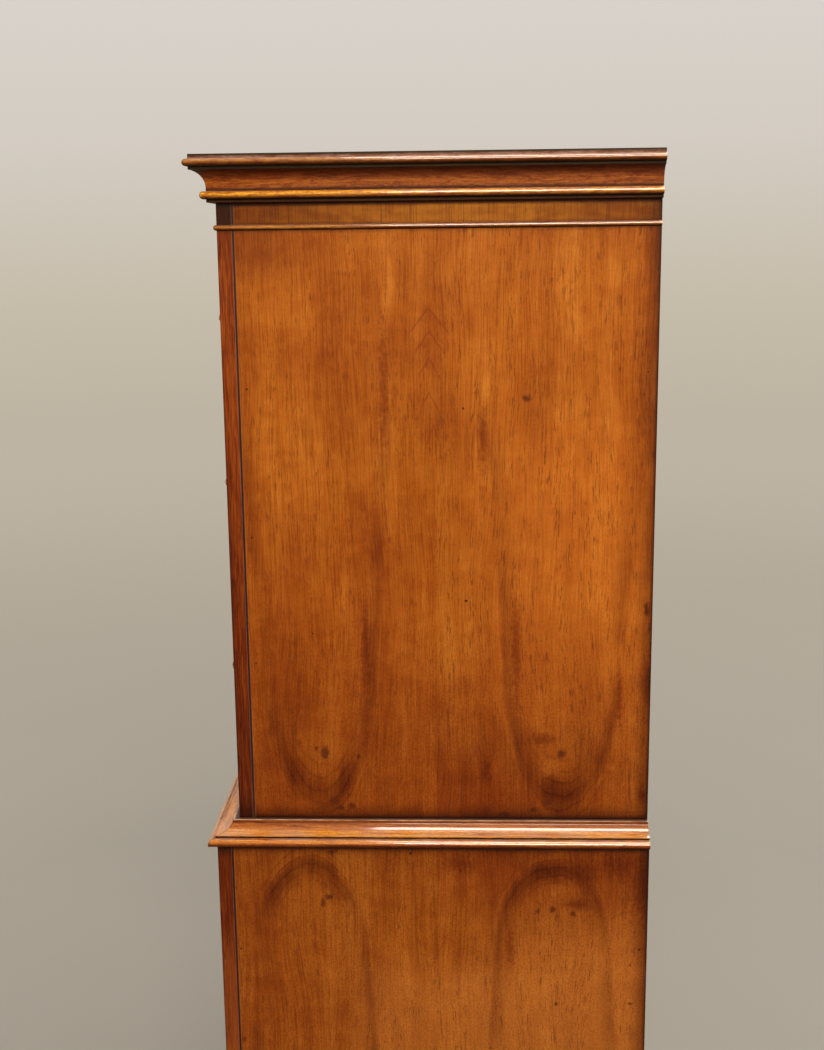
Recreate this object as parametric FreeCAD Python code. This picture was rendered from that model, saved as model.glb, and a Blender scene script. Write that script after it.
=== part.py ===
import FreeCAD, Part

# Chest on chest: a shallower chest of drawers standing in the rebated waist moulding of a deeper one.
# X runs across the width, +X on the right hand of someone facing the drawers. The drawers face -Y. Z is up.
# The origin is on the floor, under the middle of the whole piece, handles included. Millimetres.

import math
import os

from FreeCAD import Vector

# ---- The two cases ------------------------------------------------------------------------------------
lower_width = 760.0
upper_depth = 430.0
case_step = 21.0                # how far the lower case stands out past the upper one, front and sides
board = 18.0                    # thickness of the sides, stiles and upright front pieces
top_board = 12.0
bottom_board = 12.0
back_panel = 6.0
back_rebate = 9.0               # how far the back panels are let into the sides
stile_depth = 15.0              # the front stile as it shows on the side of the case
string_width = 1.3              # dark inlaid line behind the front stile
string_groove = 2.0
string_recess = 0.5
arris = 0.8                     # rounding of the stiles' front edge

# ---- Rows of drawers, bottom to top, and what stands between them --------------------------------------
lower_rows = (215.0, 190.0, 165.0)
upper_rows = (212.0, 180.0, 150.0)
rail = 16.0                     # height of the rail between two rows
rail_depth = 55.0
muntin = 16.0                   # upright between the two short drawers
guide_height = 15.0             # of the strip that the short drawers run along, behind the muntin
lower_bottom_rail = 42.0
upper_bottom_rail = 31.0        # its foot is hidden by the waist moulding
frieze_rail = 92.0
kicker = 12.0                   # height of the strips that keep the top drawers level
runner_width = 24.0
centre_runner = 60.0
dust_panel = 5.0
stop_length = 22.0
stop_depth = 12.0
stop_height = 4.0

# ---- Drawers ------------------------------------------------------------------------------------------
drawer_gap = 0.8                # all round the drawer front, and beside the drawer
run_gap = 0.3                   # over the runners, and in front of the stops
back_space = 28.0               # behind a closed drawer
front_board = 19.0
cockbead = 3.0
cockbead_depth = 6.0
cockbead_proud = 1.6
drawer_side = 10.0
headroom = 4.0                  # above the drawer sides
back_drop = 8.0                 # the drawer back stands lower than the sides
bottom_panel = 6.0
bottom_lift = 8.0               # from the lower edge of the side to the groove
groove = 5.0
tail_length = 12.0
tail_pitch = 38.0
tail_root = 19.0                # height of a tail where it leaves the side
tail_flare = 2.0                # each way, at its end

# ---- Handles and escutcheons --------------------------------------------------------------------------
handle_centres = 76.0           # between the two posts of a handle
handle_reach = 26.5             # from the drawer front to the tip of a post
handle_lift = 2.0               # posts above the middle of the drawer
plate = 1.6
plate_eye = 13.0                # lobe of the plate behind a post
plate_middle = 21.0
plate_ear = 8.0
plate_neck = 7.0                # half the height of the plate between its lobes
post_flange = 6.0
flange_height = 1.2
post_neck = 3.1
neck_start = 3.8                # above the flange
neck_cove = 0.7
post_ball = 5.5
stud = 2.0
stud_clearance = 0.2
stud_spare = 1.0                # stud that shows past its nut
nut = 4.2
nut_height = 3.5
nut_clearance = 0.05
pin = 1.6
pin_clearance = 0.08
pin_bite = 1.8                  # pin past the middle of the ball
pin_end_gap = 0.5
rod = 2.1
rod_gap = 0.3                   # between the ball and the bail's elbow
elbow = 3.4
bail_drop = 4.0
bail_bow = 22.0
bail_dip = 18.0                 # radius of the arcs that lower the grip
bail_dip_angle = 25.0
grip = 3.3
grip_length = 30.0              # of the whole swelling, whose ends lie inside the rod
escutcheon_width = 22.0
escutcheon_height = 32.0
escutcheon_waist = 4.0          # its widest place, above the middle
escutcheon_swell = 3.2
escutcheon_drop = 24.0          # from the top of the drawer opening
keyhole = 2.3
keyhole_slot = 1.1
keyhole_drop = 8.0
keyhole_depth = 6.0

# ---- Cornice, from its soffit upwards -----------------------------------------------------------------
soffit_reach = 7.5
soffit_rise = 1.4
bed_fillet = 2.9
lower_bead = 7.6
lower_bead_reach = 5.6
cove_foot = 3.4
cove_radius = 17.0
cove_reach = 14.0
crown_fillet = 2.8
crown_bead = 7.1
crown_bead_reach = 4.8
top_fillet = 4.4
astragal = 5.4
frieze_height = 20.0            # between the soffit and the astragal

# ---- Waist and plinth mouldings -----------------------------------------------------------------------
waist_lap = 4.5                 # down over the sides of the lower case
waist_lip = 16.0                # up round the foot of the upper case
waist_ledge = 5.8
waist_fit = 0.5                 # gap round the foot of the upper case
waist_nose = 8.3                # past the lower case
nose_height = 7.1
nose_round = 4.6
nose_edge_radius = 0.8
waist_quirk = 1.5
quirk_height = 2.4
waist_fillet = 3.0
waist_cove_sag = 2.8
plinth_height = 22.0
plinth_reach = 9.0
plinth_base = 11.0
plinth_quirk = 1.5
plinth_ovolo = 7.5
plinth_sag = 1.5

# ---- Feet ---------------------------------------------------------------------------------------------
foot_height = 110.0
foot_length = 150.0
foot_pad = 58.0
foot_cusp = 84.0                # where the two curves of the bracket meet
foot_cusp_height = 68.0
foot_shoulder = 118.0
foot_brow = 12.0                # height of the bracket past its shoulder
foot_sag = 6.0
foot_block = 34.0
back_brace_length = 90.0

# ---- Screws in the back panels ------------------------------------------------------------------------
screw_head = 3.6
screw_shank = 1.8
screw_length = 22.0
screw_slot = 0.9
screws_per_side = 5
screw_margin = 50.0

# ---- Worked out from the sizes above ------------------------------------------------------------------
lower_depth = upper_depth + case_step
lower_half = lower_width / 2
upper_half = lower_half - case_step
back = (lower_depth + handle_reach) / 2
lower_front = back - lower_depth
upper_front = back - upper_depth
back_inside = back - back_panel
lower_bottom = foot_height
lower_first = lower_bottom + lower_bottom_rail
lower_last = lower_first + sum(lower_rows) + rail * (len(lower_rows) - 1)
lower_top = lower_last + kicker + top_board
upper_first = lower_top + upper_bottom_rail
upper_last = upper_first + sum(upper_rows) + rail * (len(upper_rows) - 1)
upper_top = upper_last + frieze_rail
cove_rise = math.sqrt(cove_radius ** 2 - (cove_radius - cove_reach) ** 2)
cornice_height = (soffit_rise + bed_fillet + lower_bead + cove_foot + cove_rise + crown_fillet
                  + crown_bead + top_fillet)
cornice_bottom = upper_top - cornice_height
astragal_bottom = cornice_bottom - frieze_height - astragal
handle_x = (upper_half - board + muntin / 2) / 2    # middle of a short drawer, and of the handles below it
post_x = handle_centres / 2
pivot_reach = handle_reach - post_ball
elbow_x = post_x + post_ball + rod_gap + elbow
across = Vector(1, 0, 0)
inwards = Vector(0, 1, 0)
upwards = Vector(0, 0, 1)
quarter_turn = 90.0             # degrees
spare = 1.0                     # how far a cutting shape runs past what it cuts


# ---- Shapes used by several sub-parts -----------------------------------------------------------------
def box(x0, x1, y0, y1, z0, z1):
    return Part.makeBox(x1 - x0, y1 - y0, z1 - z0, Vector(x0, y0, z0))


def bar(radius, start, way, length):
    return Part.makeCylinder(radius, length, start, way)


def mirrored(shape):
    return shape.mirror(Vector(0, 0, 0), across)


def prism(points, way):
    """A flat polygon, pushed along way."""
    return Part.Face(Part.makePolygon(points + points[:1])).extrude(way)


class Outline:
    """A closed flat outline in u and v, drawn edge by edge from straight runs and arcs."""

    def __init__(self, u, v):
        self.corners = [(u, v)]
        self.middles = []

    def line(self, u, v):
        self.corners.append((u, v))
        self.middles.append(None)
        return self

    def arc(self, u, v, bulge):
        """An arc to u, v whose middle stands off its chord by bulge, to the left of the way drawn."""
        u0, v0 = self.corners[-1]
        chord = math.hypot(u - u0, v - v0)
        middle = ((u0 + u) / 2 - bulge * (v - v0) / chord, (v0 + v) / 2 + bulge * (u - u0) / chord)
        return self.arc_by(middle, (u, v))

    def arc_by(self, middle, end):
        """An arc to end that passes through middle."""
        self.corners.append(end)
        self.middles.append(middle)
        return self

    def bead(self, height, reach):
        """A bull-nosed bead that stands out to +u, drawn upwards."""
        u, v = self.corners[-1]
        shoulder = u + reach - height / 2
        self.line(shoulder, v)
        self.arc(shoulder, v + height, -height / 2)
        return self.line(u, v + height)

    def reach(self):
        return max(u for u, v in self.corners + [m for m in self.middles if m])

    def face(self, place):
        """The outline as a face, where place(u, v) gives each point's position in space."""
        edges = []
        for a, b, middle in zip(self.corners, self.corners[1:] + self.corners[:1], self.middles + [None]):
            if middle:
                edges.append(Part.Arc(place(*a), place(*middle), place(*b)).toShape())
            elif math.dist(a, b) > 0:
                edges.append(Part.makeLine(place(*a), place(*b)))
        return Part.Face(Part.Wire(edges))


def mitred_run(outline, half, front, z):
    """Front, right and left lengths of a moulding round a case. The outline's u is outwards from the case."""
    out = outline.reach() + spare
    outer = Vector(half + out, front - out, -spare)
    inner = Vector(half - spare, front + spare, -spare)
    tall = upwards * (upper_top + 2 * spare)
    face = outline.face(lambda u, v: Vector(-half - out, front - u, z + v))
    kept = prism([Vector(-outer.x, outer.y, -spare), outer, inner, Vector(-inner.x, inner.y, -spare)], tall)
    front_length = face.extrude(across * (2 * (half + out))).common(kept)
    face = outline.face(lambda u, v: Vector(half + u, front - out, z + v))
    kept = prism([outer, Vector(outer.x, back, -spare), Vector(inner.x, back, -spare), inner], tall)
    right = face.extrude(inwards * (back - front + out)).common(kept)
    return [front_length, right, mirrored(right)]


# ---- Cases --------------------------------------------------------------------------------------------
def row_floors(rows, first):
    """Height of the bottom of each row's opening."""
    floors = [first]
    for height in rows[:-1]:
        floors.append(floors[-1] + height + rail)
    return floors


class Case:
    """The upper or the lower chest, without its mouldings and drawers."""

    def __init__(self, half, front, bottom, first, rows, top, top_rail_depth, middle_width):
        self.half, self.inner = half, half - board
        self.front, self.stile_back = front, front + stile_depth
        self.bottom, self.top = bottom, top
        self.floors = row_floors(rows, first)
        self.last = self.floors[-1] + rows[-1]
        self.top_rail_depth = top_rail_depth
        self.middle_width = middle_width    # of the strips under and over a pair of short drawers


def back_screws(case):
    """Countersunk screws through the back panel into the sides, with their heads flush."""
    x = case.inner + back_rebate / 2
    head_depth = screw_head - screw_shank
    step = (case.top - case.bottom - 2 * screw_margin) / (screws_per_side - 1)
    made = []
    for n in range(screws_per_side):
        z = case.bottom + screw_margin + n * step
        head = Part.makeCone(screw_shank, screw_head, head_depth, Vector(x, back - head_depth, z), inwards)
        shank = bar(screw_shank, Vector(x, back - screw_length, z), inwards, screw_length - head_depth)
        made.append(head.fuse(shank).removeSplitter())
    return made + [mirrored(screw) for screw in made]


def slotted(screws):
    """The screws with a driver's slot across each head."""
    made = []
    for screw in screws:
        size = screw.BoundBox
        slot = box(size.Center.x - screw_slot / 2, size.Center.x + screw_slot / 2,
                   back - screw_slot, back + spare, size.ZMin - spare, size.ZMax + spare)
        made.append(screw.cut(slot))
    return made


def case_side(case, screws):
    """Right side: rebated for the back panel, and grooved for the inlaid line behind the front stile."""
    z0, z1 = case.bottom - spare, case.top + spare
    rebate = box(case.inner - spare, case.inner + back_rebate, back_inside, back + spare, z0, z1)
    line = box(case.half - string_groove, case.half + spare,
               case.stile_back - spare, case.stile_back + string_width, z0, z1)
    side = box(case.inner, case.half, case.stile_back, back, case.bottom, case.top)
    return side.cut([rebate, line] + screws)


def side_string(case):
    return box(case.half - string_groove, case.half - string_recess,
               case.stile_back, case.stile_back + string_width, case.bottom, case.top)


def case_back(case, screws):
    reach = case.inner + back_rebate
    return box(-reach, reach, back_inside, back, case.bottom, case.top).cut(screws)


def case_top(case):
    """Top board, between the sides and behind the top rail."""
    y = case.front + case.top_rail_depth
    return box(-case.inner, case.inner, y, back_inside, case.top - top_board, case.top)


def case_floor(case):
    y = case.front + rail_depth
    return box(-case.inner, case.inner, y, back_inside, case.bottom, case.bottom + bottom_board)


def corner_stile(case):
    """Right front corner post, with its outer arris rounded."""
    stile = box(case.inner, case.half, case.front, case.stile_back, case.bottom, case.top)
    corner = [edge for edge in stile.Edges
              if edge.BoundBox.XMin > case.inner + spare and edge.BoundBox.YMax < case.front + spare
              and edge.BoundBox.ZLength > spare]
    return stile.makeFillet(arris, corner)


def front_rails(case):
    """The rail under each row with its drawer stops, and the top rail."""
    bottoms = [case.bottom] + [z - rail for z in case.floors[1:]]
    made = [box(-case.inner, case.inner, case.front, case.front + rail_depth, z0, z1)
            for z0, z1 in zip(bottoms, case.floors)]
    y = case.front + front_board + run_gap
    for z in case.floors:
        for x in (-handle_x, handle_x):
            made.append(box(x - stop_length / 2, x + stop_length / 2, y, y + stop_depth, z, z + stop_height))
    y = case.front + case.top_rail_depth
    made.append(box(-case.inner, case.inner, case.front, y, case.last, case.top))
    return made


def frame_strips(case, z0, z1, depth, middle_width):
    """Strips at both sides, from the front piece to the back, and one in the middle where it has a width."""
    y = case.front + depth
    strip = box(case.inner - runner_width, case.inner, y, back_inside, z0, z1)
    strips = [strip, mirrored(strip)]
    if middle_width:
        strips.append(box(-middle_width / 2, middle_width / 2, y, back_inside, z0, z1))
    return strips


def dust_panels(case, z, middle_width):
    """Thin panels between the strips of the frame whose top is at z."""
    reach = case.inner - runner_width
    y = case.front + rail_depth
    high = z - (rail - dust_panel) / 2
    low = high - dust_panel
    if not middle_width:
        return [box(-reach, reach, y, back_inside, low, high)]
    panel = box(middle_width / 2, reach, y, back_inside, low, high)
    return [panel, mirrored(panel)]


def runners(case):
    """What carries and guides the drawers behind the rails, bottom to top."""
    made = frame_strips(case, case.bottom + bottom_board, case.floors[0], rail_depth, 0)
    for z in case.floors[1:]:
        middle_width = case.middle_width if z == case.floors[-1] else 0
        made += frame_strips(case, z - rail, z, rail_depth, middle_width)
        made += dust_panels(case, z, middle_width)
    made += frame_strips(case, case.last, case.last + kicker, case.top_rail_depth, case.middle_width)
    if case.middle_width:
        z = case.floors[-1]
        made.append(box(-muntin / 2, muntin / 2, case.front + rail_depth, back_inside, z, z + guide_height))
    return made


# ---- Mouldings ----------------------------------------------------------------------------------------
def cornice_outline():
    """Soffit, bed fillet, lower bead, cove, fillet, crown bead and top fillet."""
    height = soffit_rise
    crown = soffit_reach + cove_reach
    shape = Outline(0, 0).line(soffit_reach, height)
    height += bed_fillet
    shape.line(soffit_reach, height).bead(lower_bead, lower_bead_reach)
    height += lower_bead + cove_foot
    shape.line(soffit_reach, height)
    height += cove_rise
    half_chord = math.hypot(cove_reach, cove_rise) / 2
    shape.arc(crown, height, cove_radius - math.sqrt(cove_radius ** 2 - half_chord ** 2))
    height += crown_fillet
    shape.line(crown, height).bead(crown_bead, crown_bead_reach)
    return shape.line(crown, cornice_height).line(0, cornice_height)


def astragal_outline():
    return Outline(0, 0).arc(0, astragal, -astragal / 2)


def waist_outline():
    """Laps over the lower case and stands up round the upper one. u is from the side of the upper case."""
    top = waist_lap + waist_lip
    nose = case_step + waist_nose
    hollow = case_step + waist_quirk
    ledge = waist_fit + waist_ledge
    corner = 1 - math.sqrt(0.5)
    edge = nose_edge_radius
    shape = Outline(case_step, 0).line(nose - edge, 0).arc(nose, edge, -edge * corner)
    shape.line(nose, nose_height - nose_round).arc(nose - nose_round, nose_height, -nose_round * corner)
    shape.line(hollow, nose_height).line(hollow, nose_height + quirk_height)
    shape.arc(ledge, top - waist_fillet, waist_cove_sag).line(ledge, top)
    return shape.line(waist_fit, top).line(waist_fit, waist_lap).line(case_step, waist_lap)


def plinth_outline():
    shape = Outline(0, 0).line(plinth_reach, 0).line(plinth_reach, plinth_base)
    shape.line(plinth_reach - plinth_quirk, plinth_base)
    shape.arc(plinth_quirk, plinth_base + plinth_ovolo, -plinth_sag)
    return shape.line(plinth_quirk, plinth_height).line(0, plinth_height)


# ---- Feet ---------------------------------------------------------------------------------------------
def bracket_outline():
    """A bracket foot, from its corner inwards: u along the case, v up. Two hollow curves meet in a cusp."""
    brow = foot_height - foot_brow
    shape = Outline(0, 0).line(foot_pad, 0).arc(foot_cusp, foot_cusp_height, foot_sag)
    shape.arc(foot_shoulder, brow, foot_sag).line(foot_length, brow)
    return shape.line(foot_length, foot_height).line(0, foot_height)


def front_foot():
    """Right front foot: two brackets mitred at the corner, and the block behind them."""
    x = lower_half + plinth_reach
    y = lower_front - plinth_reach
    far = foot_length + spare
    tall = upwards * foot_height
    corner, inside = Vector(x, y, 0), Vector(x - board, y + board, 0)
    left = prism([corner, Vector(x - far, y, 0), Vector(x - far, y + board, 0), inside], tall)
    front_bracket = bracket_outline().face(lambda u, v: Vector(x - u, y, v)).extrude(inwards * board)
    behind = prism([corner, Vector(x, y + far, 0), Vector(x - board, y + far, 0), inside], tall)
    side_bracket = bracket_outline().face(lambda u, v: Vector(x - board, y + u, v)).extrude(across * board)
    block = box(inside.x - foot_block, inside.x, inside.y, inside.y + foot_block, 0, foot_height)
    return [front_bracket.common(left), side_bracket.common(behind), block]


def back_foot():
    """Right back foot: a side bracket, a plain brace across the back, and the block between them."""
    x = lower_half + plinth_reach - board
    y = back - board
    brow = foot_height - foot_brow
    bracket = bracket_outline().face(lambda u, v: Vector(x, back - u, v)).extrude(across * board)
    end = x - back_brace_length
    slope = [(x, 0), (x - foot_block, 0), (end, brow), (end, foot_height), (x, foot_height)]
    brace = prism([Vector(u, y, v) for u, v in slope], inwards * board)
    return [bracket, brace, box(x - foot_block, x, y - foot_block, y, 0, foot_height)]


# ---- Drawers ------------------------------------------------------------------------------------------
class Drawer:
    """The place of one drawer in its opening, and of the brass on its front."""

    def __init__(self, x0, x1, z0, height, face, handles):
        self.x0, self.x1 = x0 + drawer_gap, x1 - drawer_gap
        self.z0, self.z1 = z0 + drawer_gap, z0 + height - drawer_gap
        self.face = face
        self.root = face + front_board
        self.back = back_inside - back_space
        self.side_low = z0 + run_gap
        self.side_high = z0 + height - headroom
        self.floor = self.side_low + bottom_lift
        self.handles = handles
        self.handle_z = z0 + height / 2 + handle_lift
        self.lock_x = (x0 + x1) / 2
        self.lock_z = z0 + height - escutcheon_drop


def drawer_places():
    """Every drawer by name, bottom to top."""
    places = {}
    inner = lower_half - board
    for name, z, height in zip(("lower_bottom", "lower_middle", "lower_top"),
                               row_floors(lower_rows, lower_first), lower_rows):
        places[name] = Drawer(-inner, inner, z, height, lower_front, (-handle_x, handle_x))
    inner = upper_half - board
    floors = row_floors(upper_rows, upper_first)
    for name, z, height in zip(("upper_bottom", "upper_middle"), floors, upper_rows):
        places[name] = Drawer(-inner, inner, z, height, upper_front, (-handle_x, handle_x))
    half = muntin / 2
    places["upper_left"] = Drawer(-inner, -half, floors[-1], upper_rows[-1], upper_front, (-handle_x,))
    places["upper_right"] = Drawer(half, inner, floors[-1], upper_rows[-1], upper_front, (handle_x,))
    return places


def tails(place, x0, x1):
    """Dovetail tails that reach from the front end of a drawer side into the back of the drawer front."""
    height = place.side_high - place.side_low
    count = max(2, round(height / tail_pitch))
    end = place.root - tail_length
    made = []
    for n in range(count):
        z = place.side_low + (n + 0.5) * height / count
        narrow = tail_root / 2
        wide = narrow + tail_flare
        corners = [(place.root, z - narrow), (end, z - wide), (end, z + wide), (place.root, z + narrow)]
        made.append(prism([Vector(x0, y, v) for y, v in corners], across * (x1 - x0)))
    return made


def bottom_tongue(place):
    """Front edge of the drawer bottom, in its groove in the drawer front."""
    return box(place.x0 + drawer_side, place.x1 - drawer_side, place.root - groove, place.root,
               place.floor, place.floor + bottom_panel)


def keyhole_shape(place):
    """Round hole and slot, from in front of the escutcheon to a shallow depth in the drawer front."""
    y = place.face - plate - spare
    depth = plate + spare + keyhole_depth
    slot = box(place.lock_x - keyhole_slot, place.lock_x + keyhole_slot, y, y + depth,
               place.lock_z - keyhole_drop, place.lock_z)
    return bar(keyhole, Vector(place.lock_x, y, place.lock_z), inwards, depth).fuse(slot)


def stud_hole(place, x, y0, y1):
    return bar(stud + stud_clearance, Vector(x, y0 - spare, place.handle_z), inwards, y1 - y0 + 2 * spare)


def front_panel(place):
    """Solid drawer front: rebated for the cockbeads, with sockets for the tails and holes for the studs."""
    rebate = place.face + cockbead_depth
    block = box(place.x0, place.x1, rebate, place.root, place.z0, place.z1)
    field = box(place.x0 + cockbead, place.x1 - cockbead, place.face, rebate,
                place.z0 + cockbead, place.z1 - cockbead)
    cuts = tails(place, place.x0, place.x0 + drawer_side) + tails(place, place.x1 - drawer_side, place.x1)
    cuts += [bottom_tongue(place), keyhole_shape(place)]
    for x in place.handles:
        cuts += [stud_hole(place, x + way * post_x, place.face, place.root) for way in (-1, 1)]
    return block.fuse(field).removeSplitter().cut(cuts)


def cockbeads(place):
    """Half-round slips, mitred round the drawer front."""
    y0 = place.face - cockbead_proud
    y1 = place.face + cockbead_depth
    spring = y0 + cockbead / 2
    x0, x1, z0, z1 = place.x0, place.x1, place.z0, place.z1
    section = Outline(0, y1).line(0, spring).arc(cockbead, spring, -cockbead / 2).line(cockbead, y1)
    wide, tall = across * (x1 - x0), upwards * (z1 - z0)
    lengths = [section.face(lambda u, v: Vector(x0, v, z0 + u)).extrude(wide),
               section.face(lambda u, v: Vector(x1 - u, v, z0)).extrude(tall),
               section.face(lambda u, v: Vector(x0, v, z1 - u)).extrude(wide),
               section.face(lambda u, v: Vector(x0 + u, v, z0)).extrude(tall)]
    edge, depth = y0 - spare, inwards * (y1 - y0 + 2 * spare)
    outer = [Vector(x0, edge, z0), Vector(x1, edge, z0), Vector(x1, edge, z1), Vector(x0, edge, z1)]
    inset = Vector(cockbead, 0, cockbead)
    inner = [outer[0] + inset, Vector(x1 - cockbead, edge, z0 + cockbead), outer[2] - inset,
             Vector(x0 + cockbead, edge, z1 - cockbead)]
    made = []
    for n, length in enumerate(lengths):
        following = (n + 1) % len(lengths)
        made.append(length.common(prism([outer[n], outer[following], inner[following], inner[n]], depth)))
    return made


def drawer_box(place):
    """Bottom in its grooves, two dovetailed sides, and the back on top of the bottom."""
    x0, x1 = place.x0, place.x1
    panel = box(x0 + drawer_side - groove, x1 - drawer_side + groove, place.root, place.back,
                place.floor, place.floor + bottom_panel)
    made = [panel.fuse(bottom_tongue(place)).removeSplitter()]
    for low, high in ((x0, x0 + drawer_side), (x1 - drawer_side, x1)):
        side = box(low, high, place.root, place.back, place.side_low, place.side_high)
        made.append(side.fuse(tails(place, low, high)).removeSplitter().cut(panel))
    made.append(box(x0 + drawer_side, x1 - drawer_side, place.back - drawer_side, place.back,
                    place.floor + bottom_panel, place.side_high - back_drop))
    return made


# ---- Brass --------------------------------------------------------------------------------------------
def handle_plate(place, x):
    """Lobed back plate: an eye behind each post, a round middle, and a small ear above and below."""
    z, y = place.handle_z, place.face
    lobes = [(x - post_x, z, plate_eye), (x + post_x, z, plate_eye), (x, z, plate_middle),
             (x, z + plate_middle, plate_ear), (x, z - plate_middle, plate_ear)]
    shape = box(x - post_x, x + post_x, y - plate, y, z - plate_neck, z + plate_neck)
    shape = shape.fuse([bar(radius, Vector(u, y, v), -inwards, plate) for u, v, radius in lobes])
    shape = shape.removeSplitter()
    return shape.cut([stud_hole(place, x + way * post_x, y - plate, y) for way in (-1, 1)])


def post(place, x, way):
    """Turned post with a ball head on a threaded stud. Its bore is open on the side that way points to."""
    z, y = place.handle_z, place.face
    above_flange = plate + flange_height
    under_ball = pivot_reach - math.sqrt(post_ball ** 2 - post_neck ** 2)
    turned = Outline(0, plate).line(post_flange, plate).line(post_flange, above_flange)
    turned.arc(post_neck, above_flange + neck_start, neck_cove).line(post_neck, under_ball)
    turned.arc_by((post_ball, pivot_reach), (0, handle_reach))
    shape = turned.face(lambda u, v: Vector(x + u, y - v, z)).revolve(Vector(x, y, z), inwards, 360)
    length = plate + front_board + nut_height + stud_spare
    shape = shape.fuse(bar(stud, Vector(x, y - plate, z), inwards, length)).removeSplitter()
    start = Vector(x + way * (post_ball + spare), y - pivot_reach, z)
    bore_length = post_ball + spare + pin_bite + pin_end_gap
    return shape.cut(bar(pin + pin_clearance, start, across * -way, bore_length))


def stud_nut(place, x):
    """Six-sided nut on the stud, behind the drawer front."""
    y, z = place.root, place.handle_z
    turns = [side * math.pi / 3 for side in range(6)]
    corners = [Vector(x + nut * math.cos(turn), y, z + nut * math.sin(turn)) for turn in turns]
    hole = bar(stud + nut_clearance, Vector(x, y - spare, z), inwards, nut_height + 2 * spare)
    return prism(corners, inwards * nut_height).cut(hole)


def escutcheon(place):
    """Shield-shaped plate round the keyhole."""
    half, tip = escutcheon_width / 2, escutcheon_height / 2
    shield = Outline(0, -tip).arc(half, escutcheon_waist, -escutcheon_swell).arc(0, tip, -escutcheon_swell)
    shield.arc(-half, escutcheon_waist, -escutcheon_swell).arc(0, -tip, -escutcheon_swell)
    face = shield.face(lambda u, v: Vector(place.lock_x + u, place.face, place.lock_z + v))
    return face.extrude(inwards * -plate).cut(keyhole_shape(place))


def drawer_brass(place):
    made = [escutcheon(place)]
    for x in place.handles:
        made.append(handle_plate(place, x))
        for way in (-1, 1):
            made += [post(place, x + way * post_x, way), stud_nut(place, x + way * post_x)]
    return made


class Walk:
    """Straights and arcs in an upright plane, each starting where and how the last one ended."""

    def __init__(self, start, heading):
        self.at = start
        self.heading = math.radians(heading)
        self.edges = []

    def way(self, heading):
        return Vector(math.cos(heading), 0, math.sin(heading))

    def ahead(self, length):
        end = self.at + self.way(self.heading) * length
        self.edges.append(Part.makeLine(self.at, end))
        self.at = end
        return self

    def turn(self, radius, degrees):
        """An arc to the left, or to the right where degrees is negative."""
        side = math.copysign(math.pi / 2, degrees)
        centre = self.at + self.way(self.heading + side) * radius
        half = math.radians(degrees) / 2
        middle = centre - self.way(self.heading + half + side) * radius
        end = centre - self.way(self.heading + 2 * half + side) * radius
        self.edges.append(Part.Arc(self.at, middle, end).toShape())
        self.at = end
        self.heading += 2 * half
        return self


def bail(place, x):
    """Bail hanging from its two posts: pins, elbows, bowed arms, and a grip that swells in the middle."""
    z, y = place.handle_z, place.face - pivot_reach
    angle = math.radians(bail_dip_angle)
    straight = 2 * elbow_x - 2 * bail_bow - 4 * bail_dip * math.sin(angle)
    start = Vector(x - elbow_x, y, z)
    walk = Walk(start, -quarter_turn).ahead(bail_drop).turn(bail_bow, quarter_turn)
    walk.turn(bail_dip, -bail_dip_angle).turn(bail_dip, bail_dip_angle)
    low = walk.at.z
    walk.ahead(straight).turn(bail_dip, bail_dip_angle).turn(bail_dip, -bail_dip_angle)
    walk.turn(bail_bow, quarter_turn).ahead(bail_drop)
    section = Part.Wire(Part.makeCircle(rod, start, -upwards))
    shape = Part.Wire(walk.edges).makePipeShell([section], True, False)
    swelling = Outline(-grip_length / 2, 0).line(grip_length / 2, 0).arc(-grip_length / 2, 0, -grip)
    middle = Vector(x, y, low)
    pieces = [swelling.face(lambda u, v: middle + Vector(u, 0, v)).revolve(middle, across, 360)]
    for way in (-1, 1):
        centre = Vector(x + way * elbow_x, y, z)
        pieces.append(Part.makeSphere(elbow, centre))
        pieces.append(bar(pin, centre, across * -way, elbow_x - post_x + pin_bite))
    return shape.fuse(pieces).removeSplitter()


# ---- Assembly -----------------------------------------------------------------------------------------
def case_nodes():
    """Both cases with their linings, by node name."""
    cases = {"lower": Case(lower_half, lower_front, lower_bottom, lower_first, lower_rows, lower_top,
                           rail_depth, 0),
             "upper": Case(upper_half, upper_front, lower_top, upper_first, upper_rows, upper_top,
                           board, centre_runner)}
    nodes = {"side_stringing": [], "back_screws": []}
    for name, case in cases.items():
        screws = back_screws(case)
        side, string, stile = case_side(case, screws), side_string(case), corner_stile(case)
        nodes[f"{name}_side_right"] = [side]
        nodes[f"{name}_side_left"] = [mirrored(side)]
        nodes[f"{name}_back"] = [case_back(case, screws)]
        nodes[f"{name}_bottom_board"] = [case_floor(case)]
        nodes[f"{name}_top_board"] = [case_top(case)]
        nodes[f"{name}_corner_stiles"] = [stile, mirrored(stile)]
        nodes[f"{name}_front_rails"] = front_rails(case)
        nodes[f"{name}_runners"] = runners(case)
        nodes["side_stringing"] += [string, mirrored(string)]
        nodes["back_screws"] += slotted(screws)
    nodes["upper_muntin"] = [box(-muntin / 2, muntin / 2, upper_front, upper_front + rail_depth,
                                 upper_last - upper_rows[-1], upper_last)]
    return nodes


def moulding_nodes():
    return {"cornice": mitred_run(cornice_outline(), upper_half, upper_front, cornice_bottom),
            "upper_astragal": mitred_run(astragal_outline(), upper_half, upper_front, astragal_bottom),
            "waist_moulding": mitred_run(waist_outline(), upper_half, upper_front, lower_top - waist_lap),
            "plinth_moulding": mitred_run(plinth_outline(), lower_half, lower_front, lower_bottom)}


def foot_nodes():
    nodes = {}
    for name, solids in (("front", front_foot()), ("back", back_foot())):
        nodes[f"foot_{name}_right"] = solids
        nodes[f"foot_{name}_left"] = [mirrored(solid) for solid in solids]
    return nodes


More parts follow.
